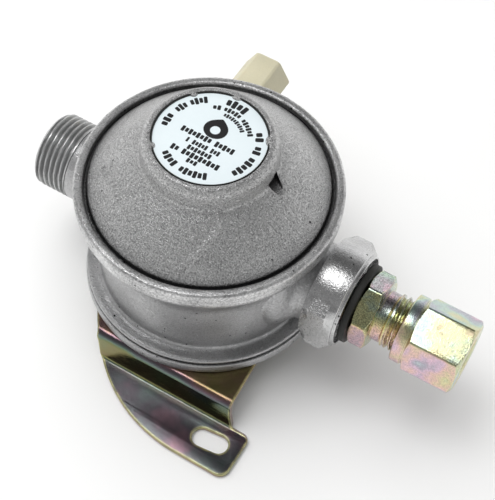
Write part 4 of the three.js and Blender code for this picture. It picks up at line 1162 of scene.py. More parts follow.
@dataclass(frozen=True)
class Finishes:
    """Every finish that the regulator uses."""

    cover: CastMetal = CastMetal(
        "blasted_casting",
        dark=(0.26, 0.26, 0.262),
        grains=2600.0,
        cloud=0.1,
        depth=0.00008,
        roughness=(0.22, 0.4),
        pits=0.02,
        edge_wear_and_highlight=1.0,
        shade=0.75,
        reach=0.0045,
        metallic=0.95,
        blasted_from=0.0,
        blasted=(0.74, 0.74, 0.74),
        gain=1.5,
    )
    body: CastMetal = CastMetal(
        "satin_casting",
        dark=(0.26, 0.26, 0.263),
        light=(0.62, 0.62, 0.625),
        grains=2000.0,
        cloud=0.35,
        depth=0.00006,
        roughness=(0.24, 0.4),
        pits=0.08,
        edge_wear_and_highlight=0.7,
        metallic=0.9,
        blasted_from=0.0440,
        gain=1.5,
    )
    collar: CastMetal = CastMetal(
        "tumbled_casting",
        dark=(0.36, 0.36, 0.362),
        light=(0.78, 0.78, 0.782),
        grains=2000.0,
        cloud=0.5,
        depth=0.00003,
        roughness=(0.18, 0.3),
        pits=0.08,
        edge_wear_and_highlight=0.9,
        metallic=1.0,
    )
    thread: CastMetal = CastMetal(
        "machined_casting",
        dark=(0.34, 0.34, 0.34),
        light=(0.56, 0.57, 0.57),
        grains=900.0,
        cloud=0.5,
        depth=0.00001,
        roughness=(0.26, 0.36),
        edge_wear_and_highlight=0.6,
    )
    bracket: Passivated = Passivated(
        "yellow_passivation",
        phase=0.13,
        patches=80.0,
        spread=0.6,
        facing=0.5,
        drain=35.0,
        strength=0.42,
        deep=(0.30, 0.32, 0.18),
        edge=(0.95, 0.88, 0.40),
        edge_reach=0.0011,
        edge_metal=0.3,
        roughness=(0.13, 0.22),
        sparkle=0.1,
        edge_wear_and_highlight=1.0,
    )
    stub: Passivated = Passivated(
        "olive_passivation",
        phase=0.0,
        patches=150.0,
        spread=0.8,
        facing=0.5,
        strength=0.9,
        deep=(0.66, 0.63, 0.50),
        vivid=0.65,
        roughness=(0.14, 0.24),
        sparkle=0.5,
    )
    nut: Passivated = Passivated(
        "rainbow_passivation",
        phase=-0.05,
        patches=120.0,
        spread=1.6,
        facing=0.48,
        strength=0.95,
        deep=(0.88, 0.90, 0.88),
        vivid=0.7,
        edge=(0.9, 0.88, 0.6),
        sparkle=0.2,
    )
    steel: TurnedMetal = TurnedMetal("zinc_plated_steel")
    spring: TurnedMetal = TurnedMetal("drawn_wire", colour=(0.42, 0.43, 0.45), shade=(0.25, 0.26, 0.28))
    brass: TurnedMetal = TurnedMetal(
        "turned_brass", colour=(0.80, 0.56, 0.20), shade=(0.62, 0.40, 0.12), roughness=(0.16, 0.3)
    )
    rubber: Moulded = Moulded(
        "moulded_rubber", colour=(0.014, 0.014, 0.012), shade=(0.006, 0.006, 0.005), roughness=(0.5, 0.7)
    )
    beige: Moulded = Moulded("waxy_plastic", glow=0.15)
    black: Moulded = Moulded(
        "acetal", colour=(0.035, 0.036, 0.04), shade=(0.02, 0.02, 0.024), roughness=(0.35, 0.5)
    )
    label: Moulded = Moulded(
        "anodised_plate",
        colour=(0.69, 0.76, 0.785),
        shade=(0.65, 0.725, 0.75),
        roughness=(0.3, 0.4),
        grains=900.0,
        depth=0.000004,
    )
    ink: Moulded = Moulded(
        "printed_ink", colour=(0.008, 0.008, 0.009), shade=(0.005, 0.005, 0.006), roughness=(0.5, 0.6)
    )
    gauze: Gauze = Gauze("wire_gauze")


# ------------------------------------------------------------------ castings
@dataclass
class BodyCasting:
    """The die-cast body: its two chambers, rim, foot, inlet spigot, outlet collar and test boss."""

    bench: Bench
    finishes: Finishes
    waist: float = 0.0278
    draft: float = 0.0005
    rim: float = 0.0326
    rim_top: float = 0.0195
    lip: float = 0.03015
    lip_bottom: float = 0.0175
    recess: float = 0.0311
    ledge: float = 0.014
    cavity: float = 0.025
    cavity_floor: float = -0.004
    roof: float = -0.009
    floor_hole: float = 0.00695
    lower_chamber: float = 0.021
    foot_face: float = -0.0149
    spigot: float = 0.0309
    foot_flange: float = 0.0316
    foot_flange_low: float = -0.0144
    foot_flange_top: float = -0.013
    voxel: float = 0.00034

    def shell(self) -> Mesh:
        """The turned shape of the two chambers.

        Returns:
            The mesh.
        """
        middle = (self.roof + self.cavity_floor) / 2 + 0.0015
        corners: list[Corner] = [
            (self.floor_hole, self.roof),
            (self.lower_chamber, self.roof),
            (self.lower_chamber, self.foot_face),
            (self.spigot, self.foot_face),
            (self.spigot, self.foot_flange_low),
            (self.foot_flange, self.foot_flange_low, 0.0003),
            (self.foot_flange, self.foot_flange_top, 0.0005),
            (self.waist, self.foot_flange_top, 0.0016),
            (self.waist + self.draft * 0.5, -0.003),
            (self.waist + self.draft, 0.0075, 0.003),
            (self.rim - 0.0009, self.ledge - 0.0007, 0.0012),
            (self.rim, self.ledge + 0.0011, 0.0012),
            (self.rim, self.rim_top, 0.0014),
            (self.lip, self.rim_top, 0.0008),
            (self.lip, self.lip_bottom, 0.0003),
            (self.recess, self.lip_bottom),
            (self.recess, self.ledge),
            (self.cavity, self.ledge),
            (self.cavity, middle),
            (self.floor_hole, middle),
        ]
        return self.bench.turned("body_casting", rounded(corners, 0.0004, 5, closed=True), sides=224)

    def cavity_tool(self) -> Mesh:
        """What the bosses may not reach into.

        Returns:
            The mesh.
        """
        low, high, radius = -0.0145, self.ledge + 0.002, self.cavity + 0.0004
        outline = [(0.0, low), (radius, low), (radius, high), (0.0, high)]
        return self.bench.turned("cavity", outline, sides=96)

    def outlet_neck(self) -> Mesh:
        """The neck, which flares into the body's wall.

        Returns:
            The mesh.
        """
        neck, bore, end = 0.0102, 0.0046, 0.0335
        corners: list[Corner] = [
            (bore, 0.0205),
            (neck + 0.0052, 0.0205),
            (neck + 0.0042, 0.0262, 0.003),
            (neck, 0.0296, 0.003),
            (neck, end),
            (bore, end),
        ]
        outline = rounded(corners, 0.0003, 6, closed=True)
        return self.bench.turned("neck", outline, Axis.X, 96)

    def outlet_collar(self) -> Mesh:
        """The collar, which is hexagonal with a turned top and bottom, and the ring on its face.

        Returns:
            The mesh.
        """
        flats, top, start, end = 0.025, 0.0129, 0.0326, 0.041
        ring, ring_end, bore = 0.012, 0.0418, 0.00707
        bar = HexBar(flats, start, end, 30.0, corner_round=0.0)
        corner = flats / 2 / math.cos(math.pi / 6)
        crown = math.sin(math.radians(45.7))

        def rule(radius: float, height: float, angle: float) -> float:
            """Holds the radius to the turned top and bottom, and to the flats between them."""
            return min(radius, top) if abs(math.sin(angle)) > crown else bar.radius(radius, height, angle)

        corners: list[Corner] = [
            (bore, start),
            (corner - 0.0019, start),
            (corner, start + 0.0022),
            (corner, end - 0.0022),
            (corner - 0.0019, end),
            (ring, end, 0.0002),
            (ring - 0.0001, ring_end, 0.0004),
            (ring - 0.0006, ring_end, 0.0002),
            (ring - 0.0006, end - 0.001),
            (bore, end - 0.001),
        ]
        outline = rounded(corners, 0.0003, 4, closed=True)
        return self.bench.turned("collar", outline, Axis.X, 240, rule=rule)

    def inlet_boss(self) -> Mesh:
        """The plain part of the inlet spigot, with its bore.

        Returns:
            The mesh.
        """
        boss, bore, end = 0.00995, 0.005, -0.0376
        corners: list[Corner] = [
            (0.0, -0.0293),
            (bore, -0.0293),
            (bore, end),
            (boss, end),
            (boss, -0.0305, 0.002),
            (boss + 0.0028, -0.0262, 0.002),
            (boss + 0.003, -0.0205),
            (0.0, -0.0205),
        ]
        return self.bench.turned("inlet_boss", rounded(corners, 0.0002, 5), Axis.X, 96)

    def test_boss(self) -> Mesh:
        """The boss that the test point screws into.

        Returns:
            The mesh.
        """
        boss, bore, end = 0.0064, 0.00347, 0.0346
        corners: list[Corner] = [
            (0.0, 0.0285),
            (bore, 0.0285),
            (bore, end),
            (boss, end, 0.0005),
            (boss, 0.0285, 0.0015),
            (boss + 0.0022, 0.0235, 0.0015),
            (boss + 0.0022, 0.0175),
            (0.0, 0.0175),
        ]
        outline = rounded(corners, 0.0002, 5)
        return self.bench.turned("test_boss", outline, Axis.Y, 64, at=(-0.013, 0.0))

    def inlet_thread(self) -> Mesh:
        """The inlet's M20 x 1.5 thread.

        Returns:
            The mesh.
        """
        start, end, bore = -0.047, -0.0375, 0.005
        thread = Thread(start, end, 0.00995, runs_out_at_start=False)
        stations = thread.stations()
        outline = [
            (bore, end),
            (bore, start + 0.0006),
            (bore + 0.0006, start),
            (thread.crest - thread.depth - 0.0002, start),
            *[(min(r, thread.crest - thread.depth + (h - start) * 1.0), h) for r, h in stations],
        ]
        return self.bench.turned("inlet_thread", outline, Axis.X, 144, rule=thread.radius)

    def chamber_parts(self, node: Object) -> Mesh:
        """The bosses, rib, pillar and cheeks inside the large chamber, cut from the CAD casting.

        Args:
            node: The CAD casting.

        Returns:
            The castings inside the chamber.
        """
        middle = (self.roof + self.cavity_floor) / 2 + 0.00155
        inner, outer, top = self.floor_hole - 0.0001, self.cavity - 0.0002, self.ledge - 0.0001
        outline = [
            (0.0, self.roof + 0.00005),
            (inner, self.roof + 0.00005),
            (inner, middle),
            (outer, middle),
            (outer, top),
            (0.0, top),
        ]
        tool = self.bench.turned("chamber", outline, sides=72)
        copy = node.data.copy()
        copy.name = "chamber_castings"
        made = carved(copy, tool, "INTERSECT")
        made.name = "chamber_castings"
        return made

    def build(self, node: Object) -> None:
        """Makes the casting's pieces.

        Args:
            node: The CAD casting.
        """
        finishes = self.finishes
        bosses = [self.outlet_neck(), self.inlet_boss(), self.test_boss()]
        parts = [carved(boss, self.cavity_tool()) for boss in bosses]
        skin = fused("body_casting_skin", [*parts, self.shell()], self.voxel, 4)
        self.bench.piece(skin, finishes.body, Slot.CAST, ["body_casting"], 60.0)
        self.bench.piece(self.outlet_collar(), finishes.collar, Slot.CAST, ["body_casting"], 24.0)
        self.bench.piece(self.inlet_thread(), finishes.thread, Slot.CAST, ["body_casting"])
        self.bench.piece(self.chamber_parts(node), finishes.body, Slot.CAST, ["body_casting"])


@dataclass
class SpringCover:
    """The domed cover with its spring tower, vent, parting seam and staked tabs."""

    bench: Bench
    finishes: Finishes
    clamped: float = 0.0308
    flange_low: float = 0.01505
    flange_top: float = 0.01745
    dome: float = 0.02925
    dome_foot: float = 0.01885
    dome_top: float = 0.02935
    crown: float = 0.0009
    tower_foot: float = 0.0172
    tower_skirt: float = 0.0163
    tower: float = 0.0159
    tower_top: float = 0.03615
    well: float = 0.01355
    well_floor: float = 0.03515
    bore: float = 0.01097
    voxel: float = 0.0003
    seam: tuple[tuple[float, float], ...] = (
        (0.0163, -53.0),
        (0.0180, -52.0),
        (0.0208, -57.0),
        (0.0238, -65.0),
        (0.0274, -73.0),
    )
    seam_radius: float = 0.00065
    seam_sink: float = 0.00012
    mark_sink: float = 0.0001
    ring_mark: tuple[float, float, float] = (0.0243, 212.0, 0.0014)  # place, angle and radius
    ring_wire: float = 0.00055
    bar_half: float = 0.0008
    bar_wire: float = 0.0005
    tabs: tuple[tuple[float, float], ...] = (
        (138.0, 0.0011),
        (94.0, 0.0015),
        (28.0, 0.0018),
        (-139.0, 0.0011),
    )
    tab_reach: float = 0.00115
    tab_thickness: float = 0.00045
    tab_drop: float = 0.00042

    def height(self, radius: float) -> float:
        """The height of the dome's skin at a radius."""
        share = (self.dome - radius) / (self.dome - self.tower_foot)
        return lerp(self.dome_foot, self.dome_top, share) + 4 * self.crown * 0.82 * share * (1 - share)

    def shell(self) -> Mesh:
        """The turned shape of the cover.

        Returns:
            The mesh.
        """
        skin: list[Corner] = [
            (r, self.height(r)) for r in spaced(self.dome - 0.0003, self.tower_foot, 14)
        ]
        corners: list[Corner] = [
            (self.clamped, self.flange_low),
            (self.clamped, self.flange_top),
            (self.dome, self.flange_top, 0.0002),
            (self.dome, self.dome_foot, 0.0005),
            *skin,
            (self.tower_skirt, self.dome_top + 0.0007, 0.0006),
            (self.tower, self.tower_top - 0.0014, 0.0014),
            (self.tower - 0.0012, self.tower_top, 0.0012),
            (self.well, self.tower_top, 0.0002),
            (self.well, self.well_floor),
            (self.bore, self.well_floor),
            (self.bore, self.dome_top - 0.0014),
            (self.tower_foot - 0.0026, self.dome_top - 0.0024),
            (self.dome - 0.00365, self.dome_foot + 0.0002),
            (self.dome - 0.00365, self.flange_low),
        ]
        shell = self.bench.turned("spring_cover", rounded(corners, 0.0003, 4, closed=True), sides=224)
        return carved(shell, self.vent_tool())

    def vent_tool(self) -> Mesh:
        """The notch at the tower's foot that lets the spring chamber breathe.

        Returns:
            The mesh.
        """
        inner, outer = self.bore - 0.001, self.tower_foot + 0.0032
        outline = [
            (inner, -0.0009),
            (outer, -0.0008),
            (outer, 0.0003),
            (self.tower_foot - 0.0014, 0.0033),
            (inner, 0.0033),
        ]
        return self.bench.slab("vent", outline, self.dome_top - 0.0015, self.dome_top + 0.0014)

    def on_dome(self, radius: float, degrees: float, sink: float = 0.0) -> Vector:
        """A point on the dome's skin, or a little under it.

        Args:
            radius: Its distance from the upright axis.
            degrees: Its place round that axis.
            sink: How far under the skin it lies.

        Returns:
            The point, in the row frame.
        """
        angle = math.radians(degrees)
        across = (radius * math.cos(angle), radius * math.sin(angle))
        return self.bench.place(Axis.Z, across, self.height(radius) - sink)

    def seam_ridge(self) -> Mesh:
        """The parting seam that curves down the dome.

        Returns:
            The mesh.
        """
        radii = np.array([r for r, _ in self.seam])
        angles = np.array([a for _, a in self.seam])
        fit = np.polyfit(radii, angles, 3)
        stations = spaced(radii[0], radii[-1], 40)
        path = [self.on_dome(r, float(np.polyval(fit, r)), self.seam_sink) for r in stations]
        return self.bench.tube("seam", path, self.seam_radius)

    def raised_marks(self) -> list[Mesh]:
        """A plain ring and short bars cast on the dome, as a foundry leaves them.

        Returns:
            One mesh for each mark.
        """
        middle, towards, ring = self.ring_mark
        loop = []
        for angle in (math.radians(a) for a in spaced(0.0, 360.0, 24)):
            degrees = towards + math.degrees(ring * math.cos(angle) / middle)
            loop.append(self.on_dome(middle + ring * math.sin(angle), degrees, self.mark_sink))
        marks = [self.bench.tube("ring_mark", loop, self.ring_wire, 8)]
        left = [(0.0232, 222.0 + 3.4 * i) for i in range(5)]
        right = [(0.0222, -22.0 - 5.0 * i) for i in range(4)]
        for radius, degrees in left + right:
            reaches = (-self.bar_half, 0.0, self.bar_half)
            path = [self.on_dome(radius + reach, degrees, self.mark_sink) for reach in reaches]
            marks.append(self.bench.tube("bar_mark", path, self.bar_wire, 8))
        return marks

    def staked_tabs(self) -> list[Mesh]:
        """Metal peened over the edge of the rating plate.

        Returns:
            One mesh for each tab.
        """
        made = []
        for degrees, width in self.tabs:
            angle = math.radians(degrees)
            radial = Vector((math.cos(angle), math.sin(angle), 0))
            along = Vector((-math.sin(angle), math.cos(angle), 0))
            up = Vector((0, 0, self.tower_top - self.tab_drop))
            centre = self.bench.datum + radial * (self.well + 0.0001) + up
            work = bmesh.new()
            bmesh.ops.create_icosphere(work, subdivisions=3, radius=1.0)
            thick = Vector((0, 0, self.tab_thickness))
            shape = Matrix((radial * self.tab_reach, along * width, thick)).transposed()
            bmesh.ops.transform(work, matrix=Matrix.Translation(centre) @ shape.to_4x4(), verts=work.verts)
            mesh = bpy.data.meshes.new("tab")
            work.to_mesh(mesh)
            work.free()
            made.append(mesh)
        return made

    def build(self) -> None:
        """Makes the cover."""
        parts = [self.shell(), self.seam_ridge(), *self.raised_marks(), *self.staked_tabs()]
        skin = fused("spring_cover_skin", parts, self.voxel, 2)
        self.bench.piece(skin, self.finishes.cover, Slot.COVER, ["spring_cover"], 60.0)


@dataclass
class RatingPlate:
    """The pale plate in the tower's top, with plain printed blocks instead of words."""

    bench: Bench
    finishes: Finishes
    radius: float = 0.01325
    well: float = 0.01355
    bottom: float = 0.0352
    top: float = 0.0357
    ink: float = 0.00003
    sunk: float = 0.00002  # how far the print starts under the plate's face
    filled: float = 0.78  # a block's share of its place in the line

    def arcs(self) -> list[tuple[float, float, float, float]]:
        """Radius, first angle, last angle and height of each curved line of blocks.

        Returns:
            The four values of each line.
        """
        return [
            (0.0112, 193.0, 173.0, 0.0017),
            (0.0112, 166.0, 150.0, 0.0017),
            (0.0112, 146.0, 124.0, 0.0017),
            (0.0112, 102.0, 73.0, 0.0020),
            (0.0112, 40.0, 25.0, 0.0017),
            (0.0112, 19.0, 6.0, 0.0017),
            (0.0112, 1.0, -33.0, 0.0017),
            (0.0091, 118.0, 105.0, 0.0012),
            (0.0091, 101.0, 72.0, 0.0012),
            (0.0091, 67.0, 34.0, 0.0012),
            (0.0075, 97.0, 44.0, 0.0010),
            (0.0109, -129.0, -104.0, 0.0017),
            (0.0109, -98.0, -62.0, 0.0017),
        ]

    def rows(self) -> list[tuple[float, float, float, float]]:
        """Height on the plate, first place, last place and height of each straight line of blocks.

        Returns:
            The four values of each line.
        """
        return [
            (-0.0008, -0.0072, 0.0008, 0.0014),
            (-0.0008, 0.0017, 0.0068, 0.0014),
            (-0.0030, -0.0045, -0.0038, 0.0012),
            (-0.0030, -0.0029, 0.0011, 0.0012),
            (-0.0030, 0.0019, 0.0043, 0.0012),
            (-0.0047, -0.0032, 0.0031, 0.0012),
            (-0.0064, -0.0065, -0.0044, 0.0014),
            (-0.0064, -0.0036, 0.0062, 0.0014),
            (-0.0080, -0.0014, 0.0014, 0.0011),
        ]

    def block(self, centre: Vector, reading: Vector, width: float, height: float) -> Mesh:
        """One printed block.

        Args:
            centre: Its middle, in plan from the datum.
            reading: The direction that the line runs.
            width: Its size along the line.
            height: Its size across the line.

        Returns:
            The mesh.
        """
        side = Vector((-reading.y, reading.x))
        corners = [
            tuple(centre + reading * (u * width / 2) + side * (v * height / 2))
            for u, v in SQUARE
        ]
        outline = rounded(corners, min(width, height) * 0.3, 3, closed=True)
        return self.bench.slab("block", outline, self.top - self.sunk, self.top + self.ink)

    def blocks(self) -> list[Mesh]:
        """The printed blocks, each as long as a letter is wide.

        Returns:
            One mesh for each block.
        """
        made = []
        for radius, start, end, height in self.arcs():
            length = radius * math.radians(abs(end - start))
            count = max(1, round(length / (height * 0.72)))
            sense = math.copysign(1.0, end - start)
            for i in range(count):
                angle = math.radians(lerp(start, end, (i + 0.5) / count))
                centre = Vector((math.cos(angle), math.sin(angle))) * radius
                reading = Vector((-math.sin(angle), math.cos(angle))) * sense
                tall = height * (0.84 + 0.3 * (i % 2))
                made.append(self.block(centre, reading, length / count * self.filled, tall))
        for up, start, end, height in self.rows():
            count = max(1, round((end - start) / (height * 0.74)))
            width = (end - start) / count
            for i in range(count):
                centre = Vector((start + width * (i + 0.5), up))
                tall = height * (0.86 + 0.3 * ((i + 1) % 2))
                made.append(self.block(centre, Vector((1, 0)), width * self.filled, tall))
        return made

    def flame(self) -> Mesh:
        """A plain drop-shaped flame sign.

        Returns:
            The mesh.
        """
        outline = []
        for share in spaced(0, 1, 40)[:-1]:
            angle = TURN * share
            lift = 1 - 0.62 * math.sin(angle) ** 3 if math.sin(angle) > 0 else 1
            across = 0.0029 * math.cos(angle) * lift
            up = 0.0026 * math.sin(angle) * (1.3 if math.sin(angle) > 0 else 1.0)
            outline.append((across - 0.0002, 0.0027 + up))
        drop = self.bench.slab("flame", outline, self.top - self.sunk, self.top + self.ink)
        eye = arc((-0.0002, 0.0025), 0.0012, 0.0, 360.0, 24)[:-1]
        return carved(drop, self.bench.slab("eye", eye, self.bottom, self.top + 3 * self.ink))

    def build(self) -> None:
        """Makes the plate, a black ring of painted shade round its edge, and its print."""
        edge: list[Corner] = [
            (0.0, self.bottom),
            (self.radius, self.bottom),
            (self.radius, self.top, 0.00015),
            (0.0, self.top),
        ]
        plate = self.bench.turned("rating_plate_disc", rounded(edge, 0.0001), sides=128)
        self.bench.piece(plate, self.finishes.label, Slot.LABEL, ["rating_plate"])
        # painted shade: a thin black ring fills the gap round the plate, where the well's wall lies in shadow
        shadow_ring_corners: list[Corner] = [
            (self.radius + 0.00003, self.bottom),
            (self.well - 0.00002, self.bottom),
            (self.well - 0.00002, self.top + 0.00038),
            (self.radius + 0.00003, self.top + 0.00038),
        ]
        outline = rounded(shadow_ring_corners, 0.00005, 3, closed=True)
        shadow_ring = self.bench.turned("rating_plate_shadow_ring", outline, sides=128)
        self.bench.piece(shadow_ring, self.finishes.rubber, Slot.RUBBER)
        print_mesh = merged("rating_plate_print", [*self.blocks(), self.flame()])
        self.bench.piece(print_mesh, self.finishes.ink, Slot.LABEL)


@dataclass
class BottomCover:
    """The cover that clamps the small diaphragm and holds the first-stage spring in its cup."""

    bench: Bench
    finishes: Finishes
    flange: float = 0.03206
    flange_top: float = -0.01595
    flange_low: float = -0.01895
    rim: float = 0.03105
    rim_height: float = 0.00085
    inner: float = 0.021
    inner_floor: float = -0.01745
    cup: float = 0.0105
    cup_floor: float = -0.02555
    skin: float = 0.0015
    breather: float = 0.0015

    def build(self) -> None:
        """Makes the cover."""
        low, outer = self.cup_floor - self.skin, self.cup + self.skin
        corners: list[Corner] = [
            (self.breather, low),
            (outer, low, 0.001),
            (outer, self.flange_low, 0.0008),
            (self.flange - 0.0007, self.flange_low, 0.0006),
            (self.flange, self.flange_low + 0.0016, 0.0012),
            (self.flange - 0.00025, self.flange_top + self.rim_height, 0.0003),
            (self.rim, self.flange_top + self.rim_height, 0.0002),
            (self.rim, self.flange_top),
            (self.inner, self.flange_top),
            (self.inner - 0.001, self.inner_floor),
            (self.cup, self.inner_floor, 0.0006),
            (self.cup, self.cup_floor, 0.0006),
            (self.breather, self.cup_floor),
        ]
        mesh = self.bench.turned("bottom_cover_shell", rounded(corners, 0.0002, 5, closed=True), sides=192)
        self.bench.piece(mesh, self.finishes.body, Slot.CAST, ["bottom_cover"])


# ------------------------------------------------------------------ bracket
@dataclass
class Bracket:
    """The joggled wall bracket and its four screws."""

    bench: Bench
    finishes: Finishes
    sheet: float = 0.0015
    top: float = -0.019
    step: float = 0.009
    bend: float = 0.0313
    lean: float = 0.0011
    bend_radius: float = 0.0016
    half_width: float = 0.026
    foot_reach: float = 0.0459
    foot_tab: float = 0.0065
    arc_radius: float = 0.042
    arc_centre: float = 0.018
    tab_corner: float = 0.003
    notch: float = 0.0328
    slot_at: tuple[float, float] = (0.0242, -0.0388)
    slot_size: tuple[float, float] = (0.0096, 0.005)
    slot_tilt: float = 6.0
    cup_hole: float = 0.0135
    screw_hole: float = 0.0022
    screw_circle: float = 0.025
    screw_angles: tuple[float, ...] = (60.0, 120.0, 240.0, 300.0)
    edge_round: float = 0.0003

    def line(self) -> tuple[Outline, list[float]]:
        """Half of the sheet's middle line from the body's axis outward, and the length along it.

        Returns:
            The line's points, and the length up to each one.
        """
        high, low = self.top - self.sheet / 2, self.top - self.step - self.sheet / 2
        tip = math.degrees(math.atan2(self.lean, self.step))
        turn = 90 - tip
        setback = self.bend_radius * math.tan(math.radians(turn / 2))
        upper = arc((self.bend - setback, high - self.bend_radius), self.bend_radius, 90, tip, 12)
        lower = arc(
            (self.bend + self.lean + setback, low + self.bend_radius), self.bend_radius, 270 - turn, 270, 12
        )
        points = [(0.0, high), *upper, *lower, (self.foot_reach + 0.002, low)]
        lengths = [0.0]
        for a, b in zip(points, points[1:]):
            lengths.append(lengths[-1] + math.dist(a, b))
        return points, lengths

    def plan(self) -> Outline:
        """The bracket's outline seen from above; the second half is the first, turned half round.

        Returns:
            The closed outline.
        """
        tab = self.half_width + self.foot_tab
        centre = (self.arc_centre, self.arc_radius - self.foot_reach)
        meet = 180 + math.degrees(math.asin(0.1))
        corner = self.tab_corner
        half = [
            *arc(centre, self.arc_radius, meet, 270, 64),
            *arc((tab - corner, -self.foot_reach + corner), corner, 270, 360, 8),
            *arc((tab - 0.002, -self.notch - 0.002), 0.002, 0, 90, 8),
            (self.half_width + 0.001, -self.notch),
            (self.half_width, -self.notch + 0.001),
        ]
        return [*half, *[(-x, -y) for x, y in half]]

    def slot(self, sign: float) -> Outline:
        """The outline of one wall-screw slot.

        Args:
            sign: 1 for the front foot's, -1 for the rear foot's.

        Returns:
            The closed outline.
        """
        radius = self.slot_size[1] / 2
        half = self.slot_size[0] / 2 - radius
        outline = [*arc((half, 0), radius, -90, 90, 12), *arc((-half, 0), radius, 90, 270, 12)]
        cos, sin = math.cos(math.radians(self.slot_tilt)), math.sin(math.radians(self.slot_tilt))
        cx, cy = self.slot_at[0] * sign, self.slot_at[1] * sign
        return [(cx + x * cos - y * sin, cy + x * sin + y * cos) for x, y in outline]

    def screw_places(self) -> list[tuple[float, float]]:
        """Where the four screws stand, in plan.

        Returns:
            Their places.
        """
        return [
            (self.screw_circle * math.cos(math.radians(a)), self.screw_circle * math.sin(math.radians(a)))
            for a in self.screw_angles
        ]

    def flat_blank(self) -> Mesh:
        """The sheet unrolled flat, with rounded edges: across, length along the line, thickness.

        Returns:
            The mesh.
        """
        points, lengths = self.line()
        ys = [y for y, _ in points]
        loops = [self.plan(), self.slot(1), self.slot(-1), arc((0, 0), self.cup_hole, 0, 355, 71)]
        loops += [arc(place, self.screw_hole, 0, 345, 23) for place in self.screw_places()]
        curve = bpy.data.curves.new("blank", "CURVE")
        curve.dimensions = "2D"
        curve.fill_mode = "BOTH"
        curve.bevel_depth = self.edge_round
        curve.bevel_resolution = 3
        curve.offset = -self.edge_round
        curve.extrude = self.sheet / 2 - self.edge_round
        for loop in loops:
            unrolled = [(x, math.copysign(float(np.interp(abs(y), ys, lengths)), y)) for x, y in loop]
            spline = curve.splines.new("POLY")
            spline.points.add(len(unrolled) - 1)
            spline.use_cyclic_u = True
            for point, (x, s) in zip(spline.points, unrolled):
                point.co = (x, s, 0, 1)
        holder = bpy.data.objects.new("blank", curve)
        to_scene(holder)
        graph = bpy.context.evaluated_depsgraph_get()
        mesh = bpy.data.meshes.new_from_object(holder.evaluated_get(graph))
        bpy.data.objects.remove(holder)
        bpy.data.curves.remove(curve)
        return mesh

    def bent(self) -> Mesh:
        """The blank, bent along the line.

        Returns:
            The mesh.
        """
        points, lengths = self.line()
        work = bmesh.new()
        blank = self.flat_blank()
        work.from_mesh(blank)
        bpy.data.meshes.remove(blank)
        bmesh.ops.remove_doubles(work, verts=work.verts, dist=1e-6)
        cuts = [s for a, b in zip(lengths, lengths[1:]) for s in (a, (a + b) / 2)]
        for cut in [0.0, *cuts[1:], *[-s for s in cuts[1:]]]:
            geometry = [*work.verts, *work.edges, *work.faces]
            bmesh.ops.bisect_plane(work, geom=geometry, plane_co=(0, cut, 0), plane_no=(0, 1, 0))
        steps = np.array(lengths)
        line = np.array(points)
        tangents = np.gradient(line, steps, axis=0)
        tangents /= np.linalg.norm(tangents, axis=1)[:, None]
        for vert in work.verts:
            x, s, t = vert.co
            along = abs(s)
            y, z = np.interp(along, steps, line[:, 0]), np.interp(along, steps, line[:, 1])
            dy, dz = np.interp(along, steps, tangents[:, 0]), np.interp(along, steps, tangents[:, 1])
            y, z = y - dz * t, z + dy * t
            vert.co = self.bench.place(Axis.Z, (x, math.copysign(y, s)), z)
        bmesh.ops.recalc_face_normals(work, faces=work.faces)
        mesh = bpy.data.meshes.new("mounting_bracket_sheet")
        work.to_mesh(mesh)
        work.free()
        return mesh

    def screw(self, number: int, at: tuple[float, float]) -> Mesh:
        """One pan-head screw with a cross recess.

        Args:
            number: Its number, from 1.
            at: Where it stands, in plan.

        Returns:
            The mesh.
        """
        under = self.top - self.sheet - 0.00005
        head, shank = under - 0.0024, under + 0.0116
        corners: list[Corner] = [
            (0.0, head),
            (0.0024, head, 0.0004),
            (0.0034, head + 0.0009, 0.0008),
            (0.0036, under, 0.0002),
            (0.002, under),
            (0.002, shank - 0.0005),
            (0.0015, shank),
            (0.0, shank),
        ]
        outline = rounded(corners, 0.0001, 4)
        screw = self.bench.turned(f"bracket_screw_{number}_turned", outline, sides=48, at=at)
        for long, short in ((0.0019, 0.00035), (0.00035, 0.0019)):
            slit = [(at[0] + u * long, at[1] + v * short) for u, v in SQUARE]
            screw = carved(screw, self.bench.slab("recess", slit, head - 0.001, head + 0.0011))
            screw.name = f"bracket_screw_{number}_turned"
        return screw

    def build(self) -> None:
        """Makes the bracket and its screws."""
        self.bench.piece(self.bent(), self.finishes.bracket, Slot.YELLOW, ["mounting_bracket"], 40.0)
        for number, at in enumerate(self.screw_places(), start=1):
            screw = self.screw(number, at)
            self.bench.piece(screw, self.finishes.steel, Slot.STEEL, [f"bracket_screw_{number}"], 30.0)


